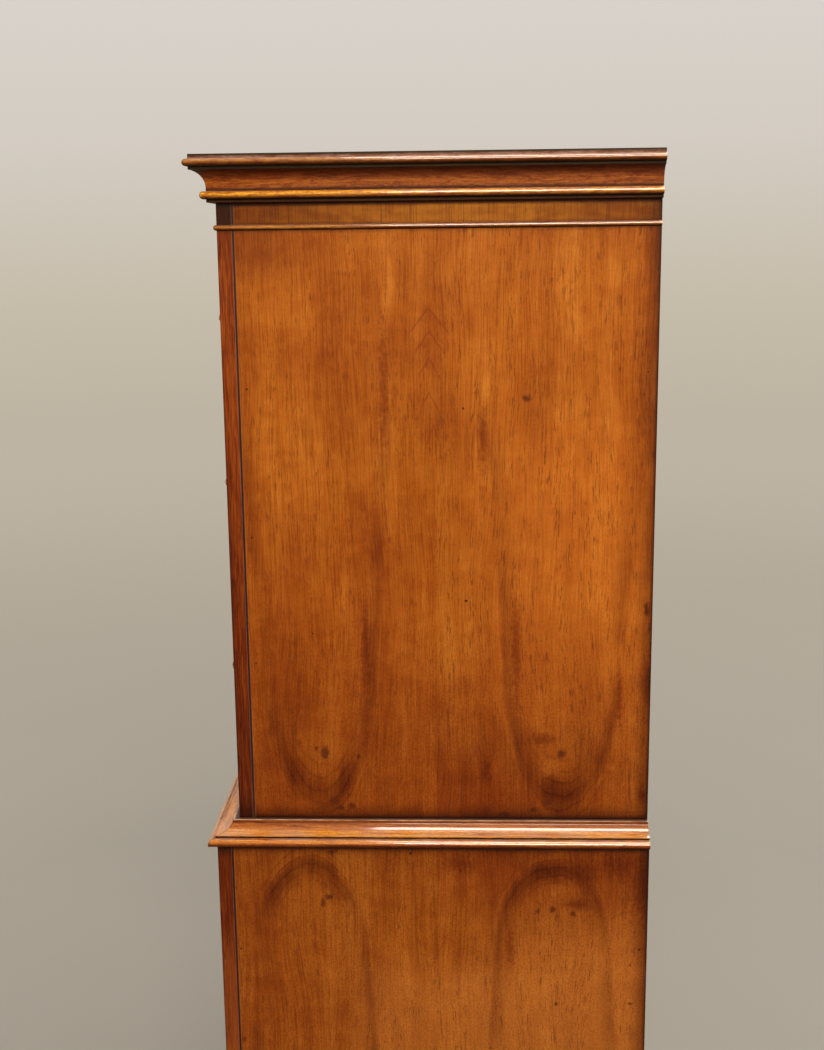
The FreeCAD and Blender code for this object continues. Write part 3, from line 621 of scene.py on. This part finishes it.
    # Bare wood on the top and back edges and on the inside of the case.
    outward = w.times(w.facing()[0], 1.0 if marked else -1.0)
    bare = w.ease(outward, 0.6, 0.3)
    colour = w.mix(bare, colour, plain_core(w, place, seed, (160, 116, 70), (120, 82, 48)))
    roughness = w.plus(0.42, w.times(bare, 0.3))
    polished(w, colour, flat, roughness, grain["Height"], coat=w.times(w.minus(1.0, bare), 0.1))


@finish
def stile_walnut(w, seed):
    """Red-brown solid corner post, grain upright, rubbed along its arris."""
    place = w.spot()
    _, y, z = w.split(place)
    grain = w.use(GRAIN, Vector=place, Seed=seed)
    colour = wood_colour(w, grain, (136, 60, 11), (156, 74, 16), (174, 92, 24))
    colour = w.darken(w.rise(grain["Streak"], 0.6, 0.3), colour, (208, 186, 168))
    fibre = w.noise(place, (1.5, 1.5, 34), 3, 0.5)
    colour = w.darken(w.rise(fibre, 0.58, 0.38), colour, (196, 152, 122))
    colour = w.mix(grain["Pores"], colour, (52, 20, 8), 0.7)
    outer = w.ease(w.size(w.facing()[0]), 0.5, 0.7)
    # Painted shade: the side faces darker above the astragal and just below it, under the cornice; the
    # whole post darker lower down.
    colour = w.darken(w.times(outer, w.ease(z, 1403, 1408)), colour, (120, 114, 182))
    colour = w.darken(w.times(outer, w.ease(z, 1345, 1400)), colour, (222, 210, 212))
    colour = w.darken(w.ease(z, 1330, 1080), colour, (210, 190, 176))
    worn = w.noise(place, (5, 5, 42), 3)
    colour = w.mix(w.ease(worn, 0.62, 0.8), colour, (186, 98, 40), 0.4)
    # dirt and painted shade along the mouldings
    colour = dirt_and_shade_by_mouldings(w, place, colour, 5, 6.5, 34, 22, 14)
    face, upper = case_face(w, z)
    from_front = w.minus(y, face)
    low = w.times(upper, w.ease(z, 1330, 1050))
    near_arris = w.times(low, w.ease(from_front, 9.5, 2.0))
    colour = w.darken(near_arris, colour, (196, 170, 156), 0.75)
    near_string = w.times(upper, w.times(w.ease(from_front, 8.5, 12.5), w.ease(z, 1120, 880)))
    colour = w.darken(near_string, colour, (224, 212, 204))
    below = w.minus(1.0, upper)
    colour = w.darken(w.times(below, w.ease(z, 650, 730)), colour, (232, 222, 222))
    colour = w.mix(w.times(below, w.ease(z, 690, 620)), colour, (170, 90, 36), 0.2)
    colour = w.darken(w.ease(from_front, 2.2, 0.6), colour, (176, 130, 100), 0.6)
    # A painted glint: a thin greyish line on the stile's edge beside the string.
    broken = w.rise(w.noise(place, (2, 2, 24), 2), 0.3, 0.6)
    painted_glint = w.ease(from_front, STILE_DEPTH - 0.8, STILE_DEPTH - 0.6)
    colour = w.mix(w.times(painted_glint, w.plus(0.12, w.times(broken, 0.42))), colour, (96, 76, 76))
    polished(w, colour, place, 0.38, grain["Height"], coat=0.1)


@finish
def moulding_walnut(w, seed, foot, profile, half, front, flame_length=70.0, wear=0.45, ledge=None):
    """A run moulding. profile gives its colour by height above its foot, with painted shade and highlights
    in it.
    Grain follows its length, and the polish is worn thin towards the front corners and on the faces that
    lie flat. ledge is how far out a ledge against the case reaches: dirt and painted shade lie in its
    corner, and its edge is rubbed pale, worn and a painted highlight at once."""
    place = w.spot()
    x, y, z = w.split(place)
    side_out = w.minus(w.size(x), half)
    front_out = w.minus(front, y)
    out = w.largest(side_out, front_out)
    run = w.join(z, out, w.plus(x, y))
    grain = w.use(GRAIN, Vector=run, Seed=seed)
    tall = profile[-1][0]
    shake = w.times(w.minus(w.noise(run, (3, 3, 9), 2), 0.5), 1.1)
    height = w.rise(w.plus(w.minus(z, foot), shake), 0.0, tall)
    # The profile's dark bands are painted shade and its bright bands painted highlights.
    colour = w.ramp(height, *((stop / tall, shade) for stop, shade in profile))
    open_parts = w.rise(w.strength(colour), 0.05, 0.19)
    flame = w.noise(run, (5, 5, flame_length), 3, 1.2)
    colour = w.darken(w.rise(flame, 0.58, 0.36), colour, (204, 174, 146))
    leathery = w.rise(w.noise(run, (1.3, 1.3, 3.2), 2), 0.58, 0.38)
    colour = w.darken(leathery, colour, (200, 170, 144), 0.55)
    colour = add_fibre(w, colour, grain, (220, 202, 186), 0.5, (50, 20, 8))
    chip = w.ease(w.noise(place, (2.6, 2.6, 2.6), 2), 0.66, 0.76)
    colour = w.mix(chip, colour, (44, 20, 10), 0.35)
    lying = w.times(w.ease(w.facing()[2], 0.9, 0.99), w.ease(w.minus(z, foot), tall - 0.7, tall - 0.2))
    colour = w.mix(lying, colour, (112, 70, 40), 0.85)
    dust = w.use(DUST, Vector=place, Amount=0.4)["Dust"]
    colour = w.mix(dust, colour, (160, 146, 130))
    if ledge:
        # Dirt and painted shade in the corner of the ledge against the case.
        corner = w.times(lying, w.ease(out, ledge - 1.7, ledge - 3.3))
        colour = w.mix(corner, colour, (38, 20, 12), 0.85)
        # The ledge's edge rubbed pale: wear and a painted highlight.
        worn = w.rise(w.noise(run, (3, 3, 14), 2), 0.34, 0.58)
        rubbed = w.times(w.times(lying, worn), w.ease(out, ledge - 1.4, ledge - 0.8))
        colour = w.mix(rubbed, colour, (224, 184, 144), 0.85)
    mitre = w.times(w.ease(w.size(w.minus(side_out, front_out)), 0.9, 0.3), w.ease(out, 0.2, 0.6))
    colour = w.darken(mitre, colour, (120, 84, 66), 0.7)
    handled = w.ease(y, front + 150.0, front - 5.0)
    kept = w.times(w.minus(1.0, w.times(handled, wear)), w.minus(1.0, w.times(lying, 0.8)))
    shine = w.times(open_parts, w.times(kept, w.minus(1.0, w.times(chip, 0.5))))
    dull = w.times(w.minus(1.0, shine), 0.25)
    polished(w, colour, run, w.plus(0.22, dull), w.times(grain["Height"], 0.5), coat=shine,
             coat_roughness=0.06)


# Colours of the mouldings by height above the foot: the wood's own colour with painted light. Near-black
# bands are painted shade in the quirks and under the beads; the golden, pale and lilac bands on the beads
# and fillets are painted highlights.
CORNICE_PROFILE = (
    (0, (24, 11, 8)), (1.4, (66, 28, 15)), (2.6, (56, 23, 13)), (3.4, (26, 12, 8)), (4.8, (34, 15, 9)),
    (6.8, (170, 98, 22)), (9, (244, 170, 38)), (11.2, (236, 150, 38)), (12.2, (80, 38, 24)),
    (13.6, (92, 44, 26)), (16, (172, 92, 28)), (20, (186, 100, 26)), (25, (136, 64, 22)),
    (31.4, (82, 36, 16)), (32.4, (26, 12, 8)), (34.6, (26, 12, 8)), (36.2, (72, 36, 14)),
    (37.6, (122, 66, 18)), (39.6, (150, 94, 32)), (41.2, (158, 114, 74)), (42.2, (148, 106, 88)),
    (43.8, (122, 88, 74)), (44.8, (58, 42, 30)), (46.33, (40, 34, 22)))
ASTRAGAL_PROFILE = (
    (0, (30, 14, 8)), (1.2, (86, 46, 14)), (2.8, (186, 118, 34)), (4.4, (168, 100, 38)),
    (5.4, (48, 22, 14)))
WAIST_PROFILE = (
    (0, (44, 18, 8)), (0.8, (84, 36, 10)), (2.4, (124, 58, 13)), (3.8, (172, 96, 26)),
    (5.2, (210, 132, 40)), (6.6, (218, 142, 52)), (7.1, (150, 82, 28)), (7.6, (40, 18, 10)),
    (8.7, (40, 18, 10)), (9.3, (218, 144, 34)), (12, (202, 124, 24)), (15, (168, 92, 18)),
    (18, (124, 58, 12)), (20.2, (170, 94, 26)), (20.5, (150, 104, 70)))
PLINTH_PROFILE = (
    (0, (60, 26, 12)), (1.2, (120, 58, 22)), (9.8, (150, 76, 28)), (10.8, (182, 104, 42)),
    (11.3, (48, 22, 12)), (12.6, (150, 78, 30)), (17.4, (176, 96, 38)), (18.6, (52, 24, 12)),
    (20.6, (146, 74, 28)), (22, (156, 92, 50)))


@finish
def front_walnut(w, seed):
    """Rails, muntin and frieze: short-grain banding on the face, plain wood behind it."""
    place = w.spot()
    x, y, z = w.split(place)
    grain = w.use(GRAIN, Vector=place, Seed=seed)
    colour = wood_colour(w, grain, (122, 58, 18), (148, 76, 24), (176, 98, 36))
    colour = add_fibre(w, colour, grain, (196, 166, 144), 0.6, (70, 28, 10))
    # dirt and painted shade along the mouldings
    colour = dirt_and_shade_by_mouldings(w, place, colour, 5, 6, 9, 8, 9)
    plain = plain_core(w, w.join(y, z, x), seed, (170, 126, 78), (134, 92, 54), (206, 188, 168))
    behind = w.ease(w.minus(y, case_face(w, z)[0]), 1.0, 1.3)
    colour = w.mix(behind, colour, plain)
    roughness = w.plus(0.33, w.times(behind, 0.35))
    polished(w, colour, place, roughness, grain["Height"], coat=0.22, coat_roughness=0.2)


@finish
def drawer_walnut(w, node, seed):
    """A drawer front: cockbead, mitred crossband, feather stringing and a book-matched field."""
    low, high = (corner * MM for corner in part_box(node))
    place = w.spot()
    x, y, z = w.split(place)
    side = w.smallest(w.minus(x, low.x), w.minus(high.x, x))
    end = w.smallest(w.minus(z, low.z), w.minus(high.z, z))
    inset = w.smallest(side, end)
    upright = w.ease(w.minus(end, side), -0.1, 0.1)     # 1 along the two short ends
    face = low.y + BEAD_PROUD
    centre = (low.x + high.x) / 2

    # Field: the figure is mirrored about the middle of the drawer.
    fold = w.size(w.minus(x, centre))
    leaf = w.join(fold, 0.0, z)
    grain = w.use(GRAIN, Vector=leaf, Seed=seed)
    sway = w.noise(leaf, (95, 95, 60), 2, 1.6)
    swirl = w.maths("SINE", w.plus(w.times(sway, 34.0), w.times(fold, 0.012)))
    colour = wood_colour(w, grain, (150, 74, 20), (176, 94, 28), (200, 120, 44), 0.75)
    colour = w.darken(w.ease(swirl, 0.0, 1.0), colour, (192, 150, 120), 0.75)
    burr = w.rise(w.noise(leaf, (26, 26, 26), 4, 2.0), 0.62, 0.34)
    colour = w.darken(burr, colour, (186, 148, 118), 0.8)
    eye = w.ease(w.noise(leaf, (5, 5, 7), 2, 1.0), 0.66, 0.76)
    colour = w.mix(eye, colour, (92, 40, 14), 0.5)
    colour = w.mix(grain["Pores"], colour, (96, 42, 12), 0.5)

    # Crossband: grain square to the edge.
    run = w.either(upright, w.join(x, 0.0, z), w.join(z, 0.0, x))
    band_grain = w.use(GRAIN, Vector=run, Seed=seed + 5.0)
    band = wood_colour(w, band_grain, (112, 50, 16), (140, 68, 22), (168, 90, 32))
    band = add_fibre(w, band, band_grain, (190, 160, 138), 0.6, (62, 26, 10))
    colour = w.mix(w.ease(inset, BAND_WIDTH + 0.2, BAND_WIDTH), colour, band)

    # Feather stringing: two rows of slanted slips with a dark line on each side.
    along = w.plus(w.times(upright, z), w.times(w.minus(1.0, upright), x))
    from_middle = w.size(w.minus(inset, STRINGING))
    slant = w.plus(along, from_middle)
    slip = w.ease(w.size(w.minus(w.maths("FRACT", w.times(slant, 0.36)), 0.5)), 0.2, 0.3)
    feather = w.mix(slip, (74, 36, 14), (196, 138, 66))
    feather = w.mix(w.ease(from_middle, 2.4, 2.7), feather, (40, 20, 10))
    feather = w.mix(w.ease(from_middle, 0.4, 0.1), feather, (60, 28, 12))
    on_feather = w.times(w.ease(inset, STRINGING - 3.3, STRINGING - 3.1),
                         w.ease(inset, BAND_WIDTH + 0.3, BAND_WIDTH + 0.1))
    colour = w.mix(on_feather, colour, feather)
    joint = w.times(w.ease(fold, 0.35, 0.1), w.ease(inset, BAND_WIDTH - 0.1, BAND_WIDTH + 0.1))
    colour = w.mix(joint, colour, (70, 30, 10), 0.5)

    # Cockbead, then the plain core that shows behind it.
    bead = w.mix(w.rise(band_grain["Tone"], 0.3, 0.7), (96, 42, 15), (134, 64, 22))
    rubbed = w.ease(w.noise(place, (16, 16, 16), 3), 0.5, 0.72)
    bead = w.mix(rubbed, bead, (178, 104, 44), 0.5)
    on_bead = w.ease(inset, BEAD_WIDTH + 0.1, BEAD_WIDTH - 0.1)
    colour = w.mix(on_bead, colour, bead)
    groove = w.times(w.ease(inset, 2.4, 3.0), w.ease(inset, 7.0, 3.2))
    dirt = w.times(groove, w.plus(0.5, w.times(w.noise(place, (12, 12, 12), 2), 0.6)))
    colour = w.darken(dirt, colour, (96, 60, 44), 0.9)
    core = plain_core(w, w.join(y, z, x), seed + 2.0, (190, 150, 100), (156, 114, 68), (212, 196, 176))
    depth = w.minus(y, face)
    past_bead = w.ease(w.minus(depth, w.times(on_bead, 8.0)), 1.0, 1.3)
    behind = w.times(w.ease(depth, 1.0, 1.3), past_bead)
    colour = w.mix(behind, colour, core)
    cloudy = w.noise(place, (30, 30, 30), 2)
    roughness = w.plus(w.plus(0.28, w.times(behind, 0.4)), w.times(cloudy, 0.08))
    polished(w, colour, leaf, roughness, band_grain["Height"], coat=0.3)


@finish
def foot_walnut(w, seed):
    """Bracket feet: show wood outside, plain glue block and brace inside, scuffed at the floor."""
    place = w.spot()
    x, y, z = w.split(place)
    out = w.largest(w.minus(w.size(x), LOWER_HALF), w.minus(LOWER_FRONT, y))
    run = w.join(z, out, w.plus(x, y))
    grain = w.use(GRAIN, Vector=run, Seed=seed)
    colour = wood_colour(w, grain, (120, 54, 18), (148, 74, 24), (174, 96, 36))
    flame = w.noise(run, (9, 9, 60), 3, 1.2)
    colour = w.darken(w.rise(flame, 0.6, 0.36), colour, (186, 148, 120))
    colour = add_fibre(w, colour, grain, (200, 172, 150), 0.6, (66, 28, 10))
    # Dirt and painted shade under the plinth.
    under = w.use(DIRT_AND_SHADE, Vector=place, Distance=w.minus(PLINTH_FOOT, z), Reach=9.0)["Grime"]
    colour = w.darken(under, colour, (110, 76, 60), 0.9)
    scuff = w.times(w.ease(z, 22, 0.0), w.rise(w.noise(place, (9, 9, 5), 3), 0.4, 0.66))
    colour = w.mix(scuff, colour, (92, 66, 48), 0.7)
    inner = w.smallest(w.minus(LOWER_HALF - FOOT_THICKNESS, w.size(x)),
                       w.minus(y, LOWER_FRONT + FOOT_THICKNESS))
    hidden = w.ease(inner, -0.1, 0.1)
    colour = w.mix(hidden, colour, plain_core(w, place, seed, (172, 130, 82), (132, 92, 54)))
    roughness = w.plus(0.34, w.plus(w.times(hidden, 0.35), w.times(scuff, 0.3)))
    polished(w, colour, run, roughness, grain["Height"], coat=0.3, coat_roughness=0.18)


@finish
def oak_lining(w, node, seed):
    """Drawer linings in oak: sides with the grain from front to back, back and bottom across."""
    low, high = (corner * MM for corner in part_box(node))
    place = w.spot()
    x, y, z = w.split(place)
    side = w.ease(w.smallest(w.minus(x, low.x), w.minus(high.x, x)), LINING_THICKNESS + 0.1,
                  LINING_THICKNESS - 0.1)
    run = w.either(side, w.join(y, z, x), w.join(z, x, y))
    lining = w.use(LINING, Vector=run, Seed=seed, Ring=4.5, Board=620.0, Off=260.0)
    colour = w.ramp(lining["Rings"], (0.0, (196, 156, 104)), (0.7, (176, 134, 84)),
                    (1.0, (150, 108, 64)))
    colour = w.darken(w.rise(lining["Fibre"], 0.64, 0.28), colour, (204, 184, 160))
    colour = w.mix(lining["Flecks"], colour, (110, 74, 42), 0.45)
    aged = w.rise(w.noise(place, (70, 90, 40), 3), 0.4, 0.68)
    colour = w.darken(aged, colour, (196, 172, 142), 0.7)
    patchy = w.rise(w.noise(place, (25, 25, 4), 2), 0.3, 0.7)
    handled = w.times(w.ease(w.minus(high.z, z), 9.0, 0.0), patchy)
    colour = w.darken(handled, colour, (160, 130, 104), 0.6)
    dust = w.use(DUST, Vector=place, Amount=0.22)["Dust"]
    colour = w.mix(dust, colour, (150, 138, 120))
    height = w.minus(w.times(lining["Fibre"], 0.05), w.times(lining["Flecks"], 0.06))
    close_finish(w, colour, w.plus(0.62, w.times(aged, 0.16)), height, IOR=1.46)


@finish
def pine_boards(w, seed, along, stain, dust_amount=0.35):
    """Plain softwood of backs, boards and runners, darkened by age. along names its grain's axis."""
    place = w.spot()
    x, y, z = w.split(place)
    order = {"x": (y, z, x), "y": (x, z, y), "z": (x, y, z)}[along]
    lining = w.use(LINING, Vector=w.join(*order), Seed=seed, Ring=6.5)
    colour = w.ramp(lining["Rings"], (0.0, (186, 138, 84)), (0.75, (160, 108, 60)),
                    (1.0, (118, 72, 38)))
    colour = w.darken(w.rise(lining["Fibre"], 0.64, 0.28), colour, (202, 180, 156))
    colour = w.darken(lining["Shade"], colour, (206, 180, 156), 0.55)
    aged = w.rise(w.noise(place, (120, 120, 150), 4), 0.35, 0.68)
    colour = w.darken(w.plus(0.35, w.times(aged, 0.5)), colour, stain)
    colour = w.mix(lining["Joint"], colour, (48, 30, 18), 0.75)
    run = w.ease(w.noise(place, (14, 14, 120), 3), 0.6, 0.74)
    colour = w.darken(run, colour, (140, 104, 76), 0.35)
    rub = w.ease(w.noise(place, (30, 30, 8), 3), 0.62, 0.78)
    colour = w.mix(rub, colour, (206, 170, 120), 0.2)
    dust = w.use(DUST, Vector=place, Amount=dust_amount)["Dust"]
    colour = w.mix(dust, colour, (158, 146, 128))
    height = w.plus(w.times(lining["Fibre"], 0.1), w.times(lining["Rings"], 0.05))
    height = w.minus(height, w.times(lining["Joint"], 0.25))
    close_finish(w, colour, w.plus(0.66, w.times(aged, 0.16)), height, IOR=1.45)


@finish
def old_brass(w, seed):
    """Brass gone brown, rubbed to a soft yellow only on the faces that a cloth reaches from the front. The
    darker sides are tarnish and painted shade at once.
    """
    place = w.shift(w.spot(), (seed * 31.0, seed * 17.0, 0.0))
    patina = w.use(PATINA, Vector=place)
    # Faces that look to the front are rubbed yellow; the sides stay dark, as tarnish and as painted shade.
    rubbed_front_shaded_sides = w.ease(w.facing()[1], -0.72, -0.98)
    colour = w.mix(patina["Tarnish"], (84, 58, 30), (52, 34, 20))
    rubbed = w.times(rubbed_front_shaded_sides, w.plus(0.3, w.times(patina["Rubbed"], 0.55)))
    colour = w.mix(rubbed, colour, (190, 148, 82))
    colour = w.mix(patina["Grime"], colour, (40, 26, 14), 0.85)
    fine = w.noise(place, (0.7, 0.7, 0.7), 2)
    dull = w.plus(w.times(w.minus(1.0, rubbed_front_shaded_sides), 0.34), w.times(patina["Grime"], 0.22))
    roughness = w.plus(w.plus(0.28, w.times(patina["Tarnish"], 0.12)), dull)
    height = w.plus(w.times(fine, 0.02), w.times(patina["Tarnish"], 0.01))
    close_finish(w, colour, roughness, height, Metallic=1.0)


@finish
def rusty_iron(w):
    """Dark iron of the screw heads, rusted in patches."""
    place = w.spot()
    rust = w.ease(w.noise(place, (2.4, 2.4, 2.4), 3), 0.44, 0.62)
    colour = w.mix(rust, (112, 106, 100), (98, 56, 32))
    height = w.times(w.noise(place, (0.9, 0.9, 0.9), 3), 0.08)
    close_finish(w, colour, w.plus(0.42, w.times(rust, 0.3)), height, Metallic=0.85)


@finish
def inlaid_line(w):
    """Near-black line let in behind the stile."""
    place = w.spot()
    fibre = w.noise(place, (0.5, 0.5, 12), 2)
    slow = w.noise(place, (3, 3, 60), 2)
    colour = w.mix(w.rise(fibre, 0.3, 0.7), (24, 12, 9), (46, 24, 14))
    colour = w.mix(w.ease(slow, 0.5, 0.7), colour, (70, 34, 20), 0.4)
    close_finish(w, colour, w.plus(0.4, w.times(fibre, 0.12)), w.times(fibre, 0.03),
                 IOR=SHELLAC_IOR)


# ---- Dressing the chest ----
def dress(material, *nodes):
    for name in nodes:
        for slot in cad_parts[name].material_slots:
            slot.link = "OBJECT"
            slot.material = material


DRAWERS = ("lower_bottom", "lower_middle", "lower_top", "upper_bottom", "upper_middle", "upper_left",
           "upper_right")
SIDES = (("upper", "right", 1), ("upper", "left", 3), ("lower", "right", 2), ("lower", "left", 4))

for case, hand, seed in SIDES:
    dress(side_veneer(f"{case} side {hand} walnut", seed, case == "upper", hand == "right"),
          f"{case}_side_{hand}")
dress(stile_walnut("stile walnut", 6), "upper_corner_stiles", "lower_corner_stiles")
dress(moulding_walnut("cornice walnut", 7, CORNICE_FOOT, CORNICE_PROFILE, UPPER_HALF, UPPER_FRONT,
                      flame_length=22, wear=0.7), "cornice")
dress(moulding_walnut("astragal walnut", 8, ASTRAGAL_FOOT, ASTRAGAL_PROFILE, UPPER_HALF, UPPER_FRONT,
                      wear=0.65), "upper_astragal")
dress(moulding_walnut("waist walnut", 9, WAIST_FOOT, WAIST_PROFILE, UPPER_HALF, UPPER_FRONT,
                      wear=0.55, ledge=6.3), "waist_moulding")
dress(moulding_walnut("plinth walnut", 10, PLINTH_FOOT, PLINTH_PROFILE, LOWER_HALF, LOWER_FRONT),
      "plinth_moulding")
dress(front_walnut("rail walnut", 11), "upper_front_rails", "lower_front_rails", "upper_muntin")
dress(foot_walnut("foot walnut", 12), "foot_front_left", "foot_front_right", "foot_back_left",
      "foot_back_right")
dress(inlaid_line("inlaid line"), "side_stringing")
dress(rusty_iron("old iron"), "back_screws")
dress(pine_boards("upper back pine", 13, "z", (176, 134, 96)), "upper_back")
dress(pine_boards("lower back pine", 21, "z", (168, 128, 92)), "lower_back")
dress(pine_boards("board pine", 14, "x", (190, 150, 112), 0.45), "upper_top_board",
      "upper_bottom_board", "lower_top_board", "lower_bottom_board")
dress(pine_boards("runner pine", 15, "y", (204, 170, 132)), "upper_runners", "lower_runners")
for number, drawer in enumerate(DRAWERS):
    front = f"{drawer}_drawer_front"
    lining = f"{drawer}_drawer_box"
    dress(drawer_walnut(f"{drawer} drawer walnut", front, 20 + 3 * number), front)
    dress(oak_lining(f"{drawer} drawer oak", lining, 50 + number), lining)
    dress(old_brass(f"{drawer} drawer brass", number), f"{drawer}_drawer_brass",
          *(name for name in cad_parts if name.startswith(f"{drawer}_bail")))


# ---- Floor, background, light and camera ----
def seen_rays(w):
    """1 for rays that show the background: straight from the camera, or by way of metal and polish."""
    rays = w.tree.nodes.new("ShaderNodeLightPath")
    seen = w.plus(rays.outputs["Is Camera Ray"], rays.outputs["Is Glossy Ray"])
    return w.smallest(w.plus(seen, rays.outputs["Is Transmission Ray"]), 1.0)


HORIZON = (190, 180, 163)       # where the floor runs into the background
FLOOR_REACH = 9.0               # in metres
FLOOR_STEPS = 64
AMBIENT = 0.34                  # strength of the even light from all round


@finish
def floor_paint(w):
    """Pale and matt. Its far part runs into the colour of the background."""
    place = w.add("TexCoord", out="Object")
    away = w.add("VectorMath", place, operation="LENGTH", out="Value")
    cloud = w.noise(place, (0.9, 0.9, 0.9), 3)
    skin = w.tree.nodes.new("ShaderNodeBsdfPrincipled")
    w.feed(skin.inputs["Base Color"], w.mix(cloud, (124, 117, 104), (131, 124, 112)))
    skin.inputs["Roughness"].default_value = 0.9
    glow = w.add("Emission", tone(HORIZON), 1.0)
    near = w.maths("POWER", w.rise(away, FLOOR_REACH, 1.5), 3.8)
    far = w.times(w.minus(1.0, near), seen_rays(w))
    w.close("Material", w.add("MixShader", far, skin.outputs[0], glow))


def lay_floor():
    """A disc so wide that its edge never shows."""
    turns = [2 * math.pi * step / FLOOR_STEPS for step in range(FLOOR_STEPS)]
    rim = [(FLOOR_REACH * math.cos(turn), FLOOR_REACH * math.sin(turn), 0.0) for turn in turns]
    mesh = bpy.data.meshes.new("floor")
    mesh.from_pydata(rim, [], [list(range(FLOOR_STEPS))])
    floor = bpy.data.objects.new("floor", mesh)
    scene.collection.objects.link(floor)
    mesh.materials.append(floor_paint("pale floor"))


def light_room():
    world = bpy.data.worlds.new("room")
    scene.world = world
    world.use_nodes = True
    world.node_tree.nodes.clear()
    w = Wiring(world.node_tree)
    z = w.split(w.add("TexCoord", out="Generated"))[2]
    wall = w.ramp(w.rise(z, -0.13, 0.24), (0.0, HORIZON), (0.2, (198, 188, 170)),
                  (0.36, (205, 197, 183)), (0.49, (212, 204, 194)), (0.72, (216, 210, 203)),
                  (1.0, (224, 218, 212)))
    shown = w.add("Background", wall, 1.0)
    giving = w.add("Background", WHITE, AMBIENT)
    w.close("World", w.add("MixShader", seen_rays(w), giving, shown))


# Each lamp: its name, where it hangs, what it points at, its width and height, and its watts.
LAMPS = (("window", (3.1, 0.28, 2.75), (0.36, 0.1, 1.2), 0.96, 1.0, 88),
         ("overhead soft light", (0.8, 0.19, 2.75), (0.8, 0.19, 0.0), 0.7, 0.74, 27),
         ("front soft light", (-1.0, -3.4, 2.2), (0.0, -0.2, 0.8), 2.2, 1.6, 100),
         ("left soft light", (-2.9, 1.2, 2.9), (-0.36, 0.0, 0.8), 2.0, 1.4, 95),
         ("back soft light", (0.4, 3.5, 2.4), (0.0, 0.24, 0.8), 2.2, 1.6, 75))


def hang_lamp(name, place, target, width, height, watts):
    light = bpy.data.lights.new(name, "AREA")
    light.shape = "RECTANGLE"
    light.size, light.size_y = width, height
    light.energy = watts
    lamp = bpy.data.objects.new(name, light)
    scene.collection.objects.link(lamp)
    lamp.location = place
    lamp.rotation_euler = (Vector(target) - Vector(place)).to_track_quat("-Z", "Y").to_euler()


CAMERA_PLACE = (1.7644, 0.05185, 1.4122)
CAMERA_ANGLES = (2.3, 12.107, -0.674)      # turned left, tipped down and leaning, in degrees
LENS = 48.89                                # in millimetres, before a frame 36 wide


def place_camera():
    yaw, pitch, roll = (math.radians(angle) for angle in CAMERA_ANGLES)
    ahead = Vector((-math.cos(yaw) * math.cos(pitch), -math.sin(yaw) * math.cos(pitch), -math.sin(pitch)))
    level = ahead.cross(Vector((0.0, 0.0, 1.0))).normalized()
    top = level.cross(ahead)
    right = math.cos(roll) * level + math.sin(roll) * top
    up = math.cos(roll) * top - math.sin(roll) * level
    lens = bpy.data.cameras.new("camera")
    lens.lens = LENS
    lens.sensor_width = 36.0
    camera = bpy.data.objects.new("camera", lens)
    scene.collection.objects.link(camera)
    turn = Matrix((right, up, -ahead)).transposed().to_4x4()
    camera.matrix_world = Matrix.Translation(CAMERA_PLACE) @ turn
    scene.camera = camera


lay_floor()
light_room()
for lamp in LAMPS:
    hang_lamp(*lamp)
place_camera()
scene.view_settings.view_transform = "Standard"
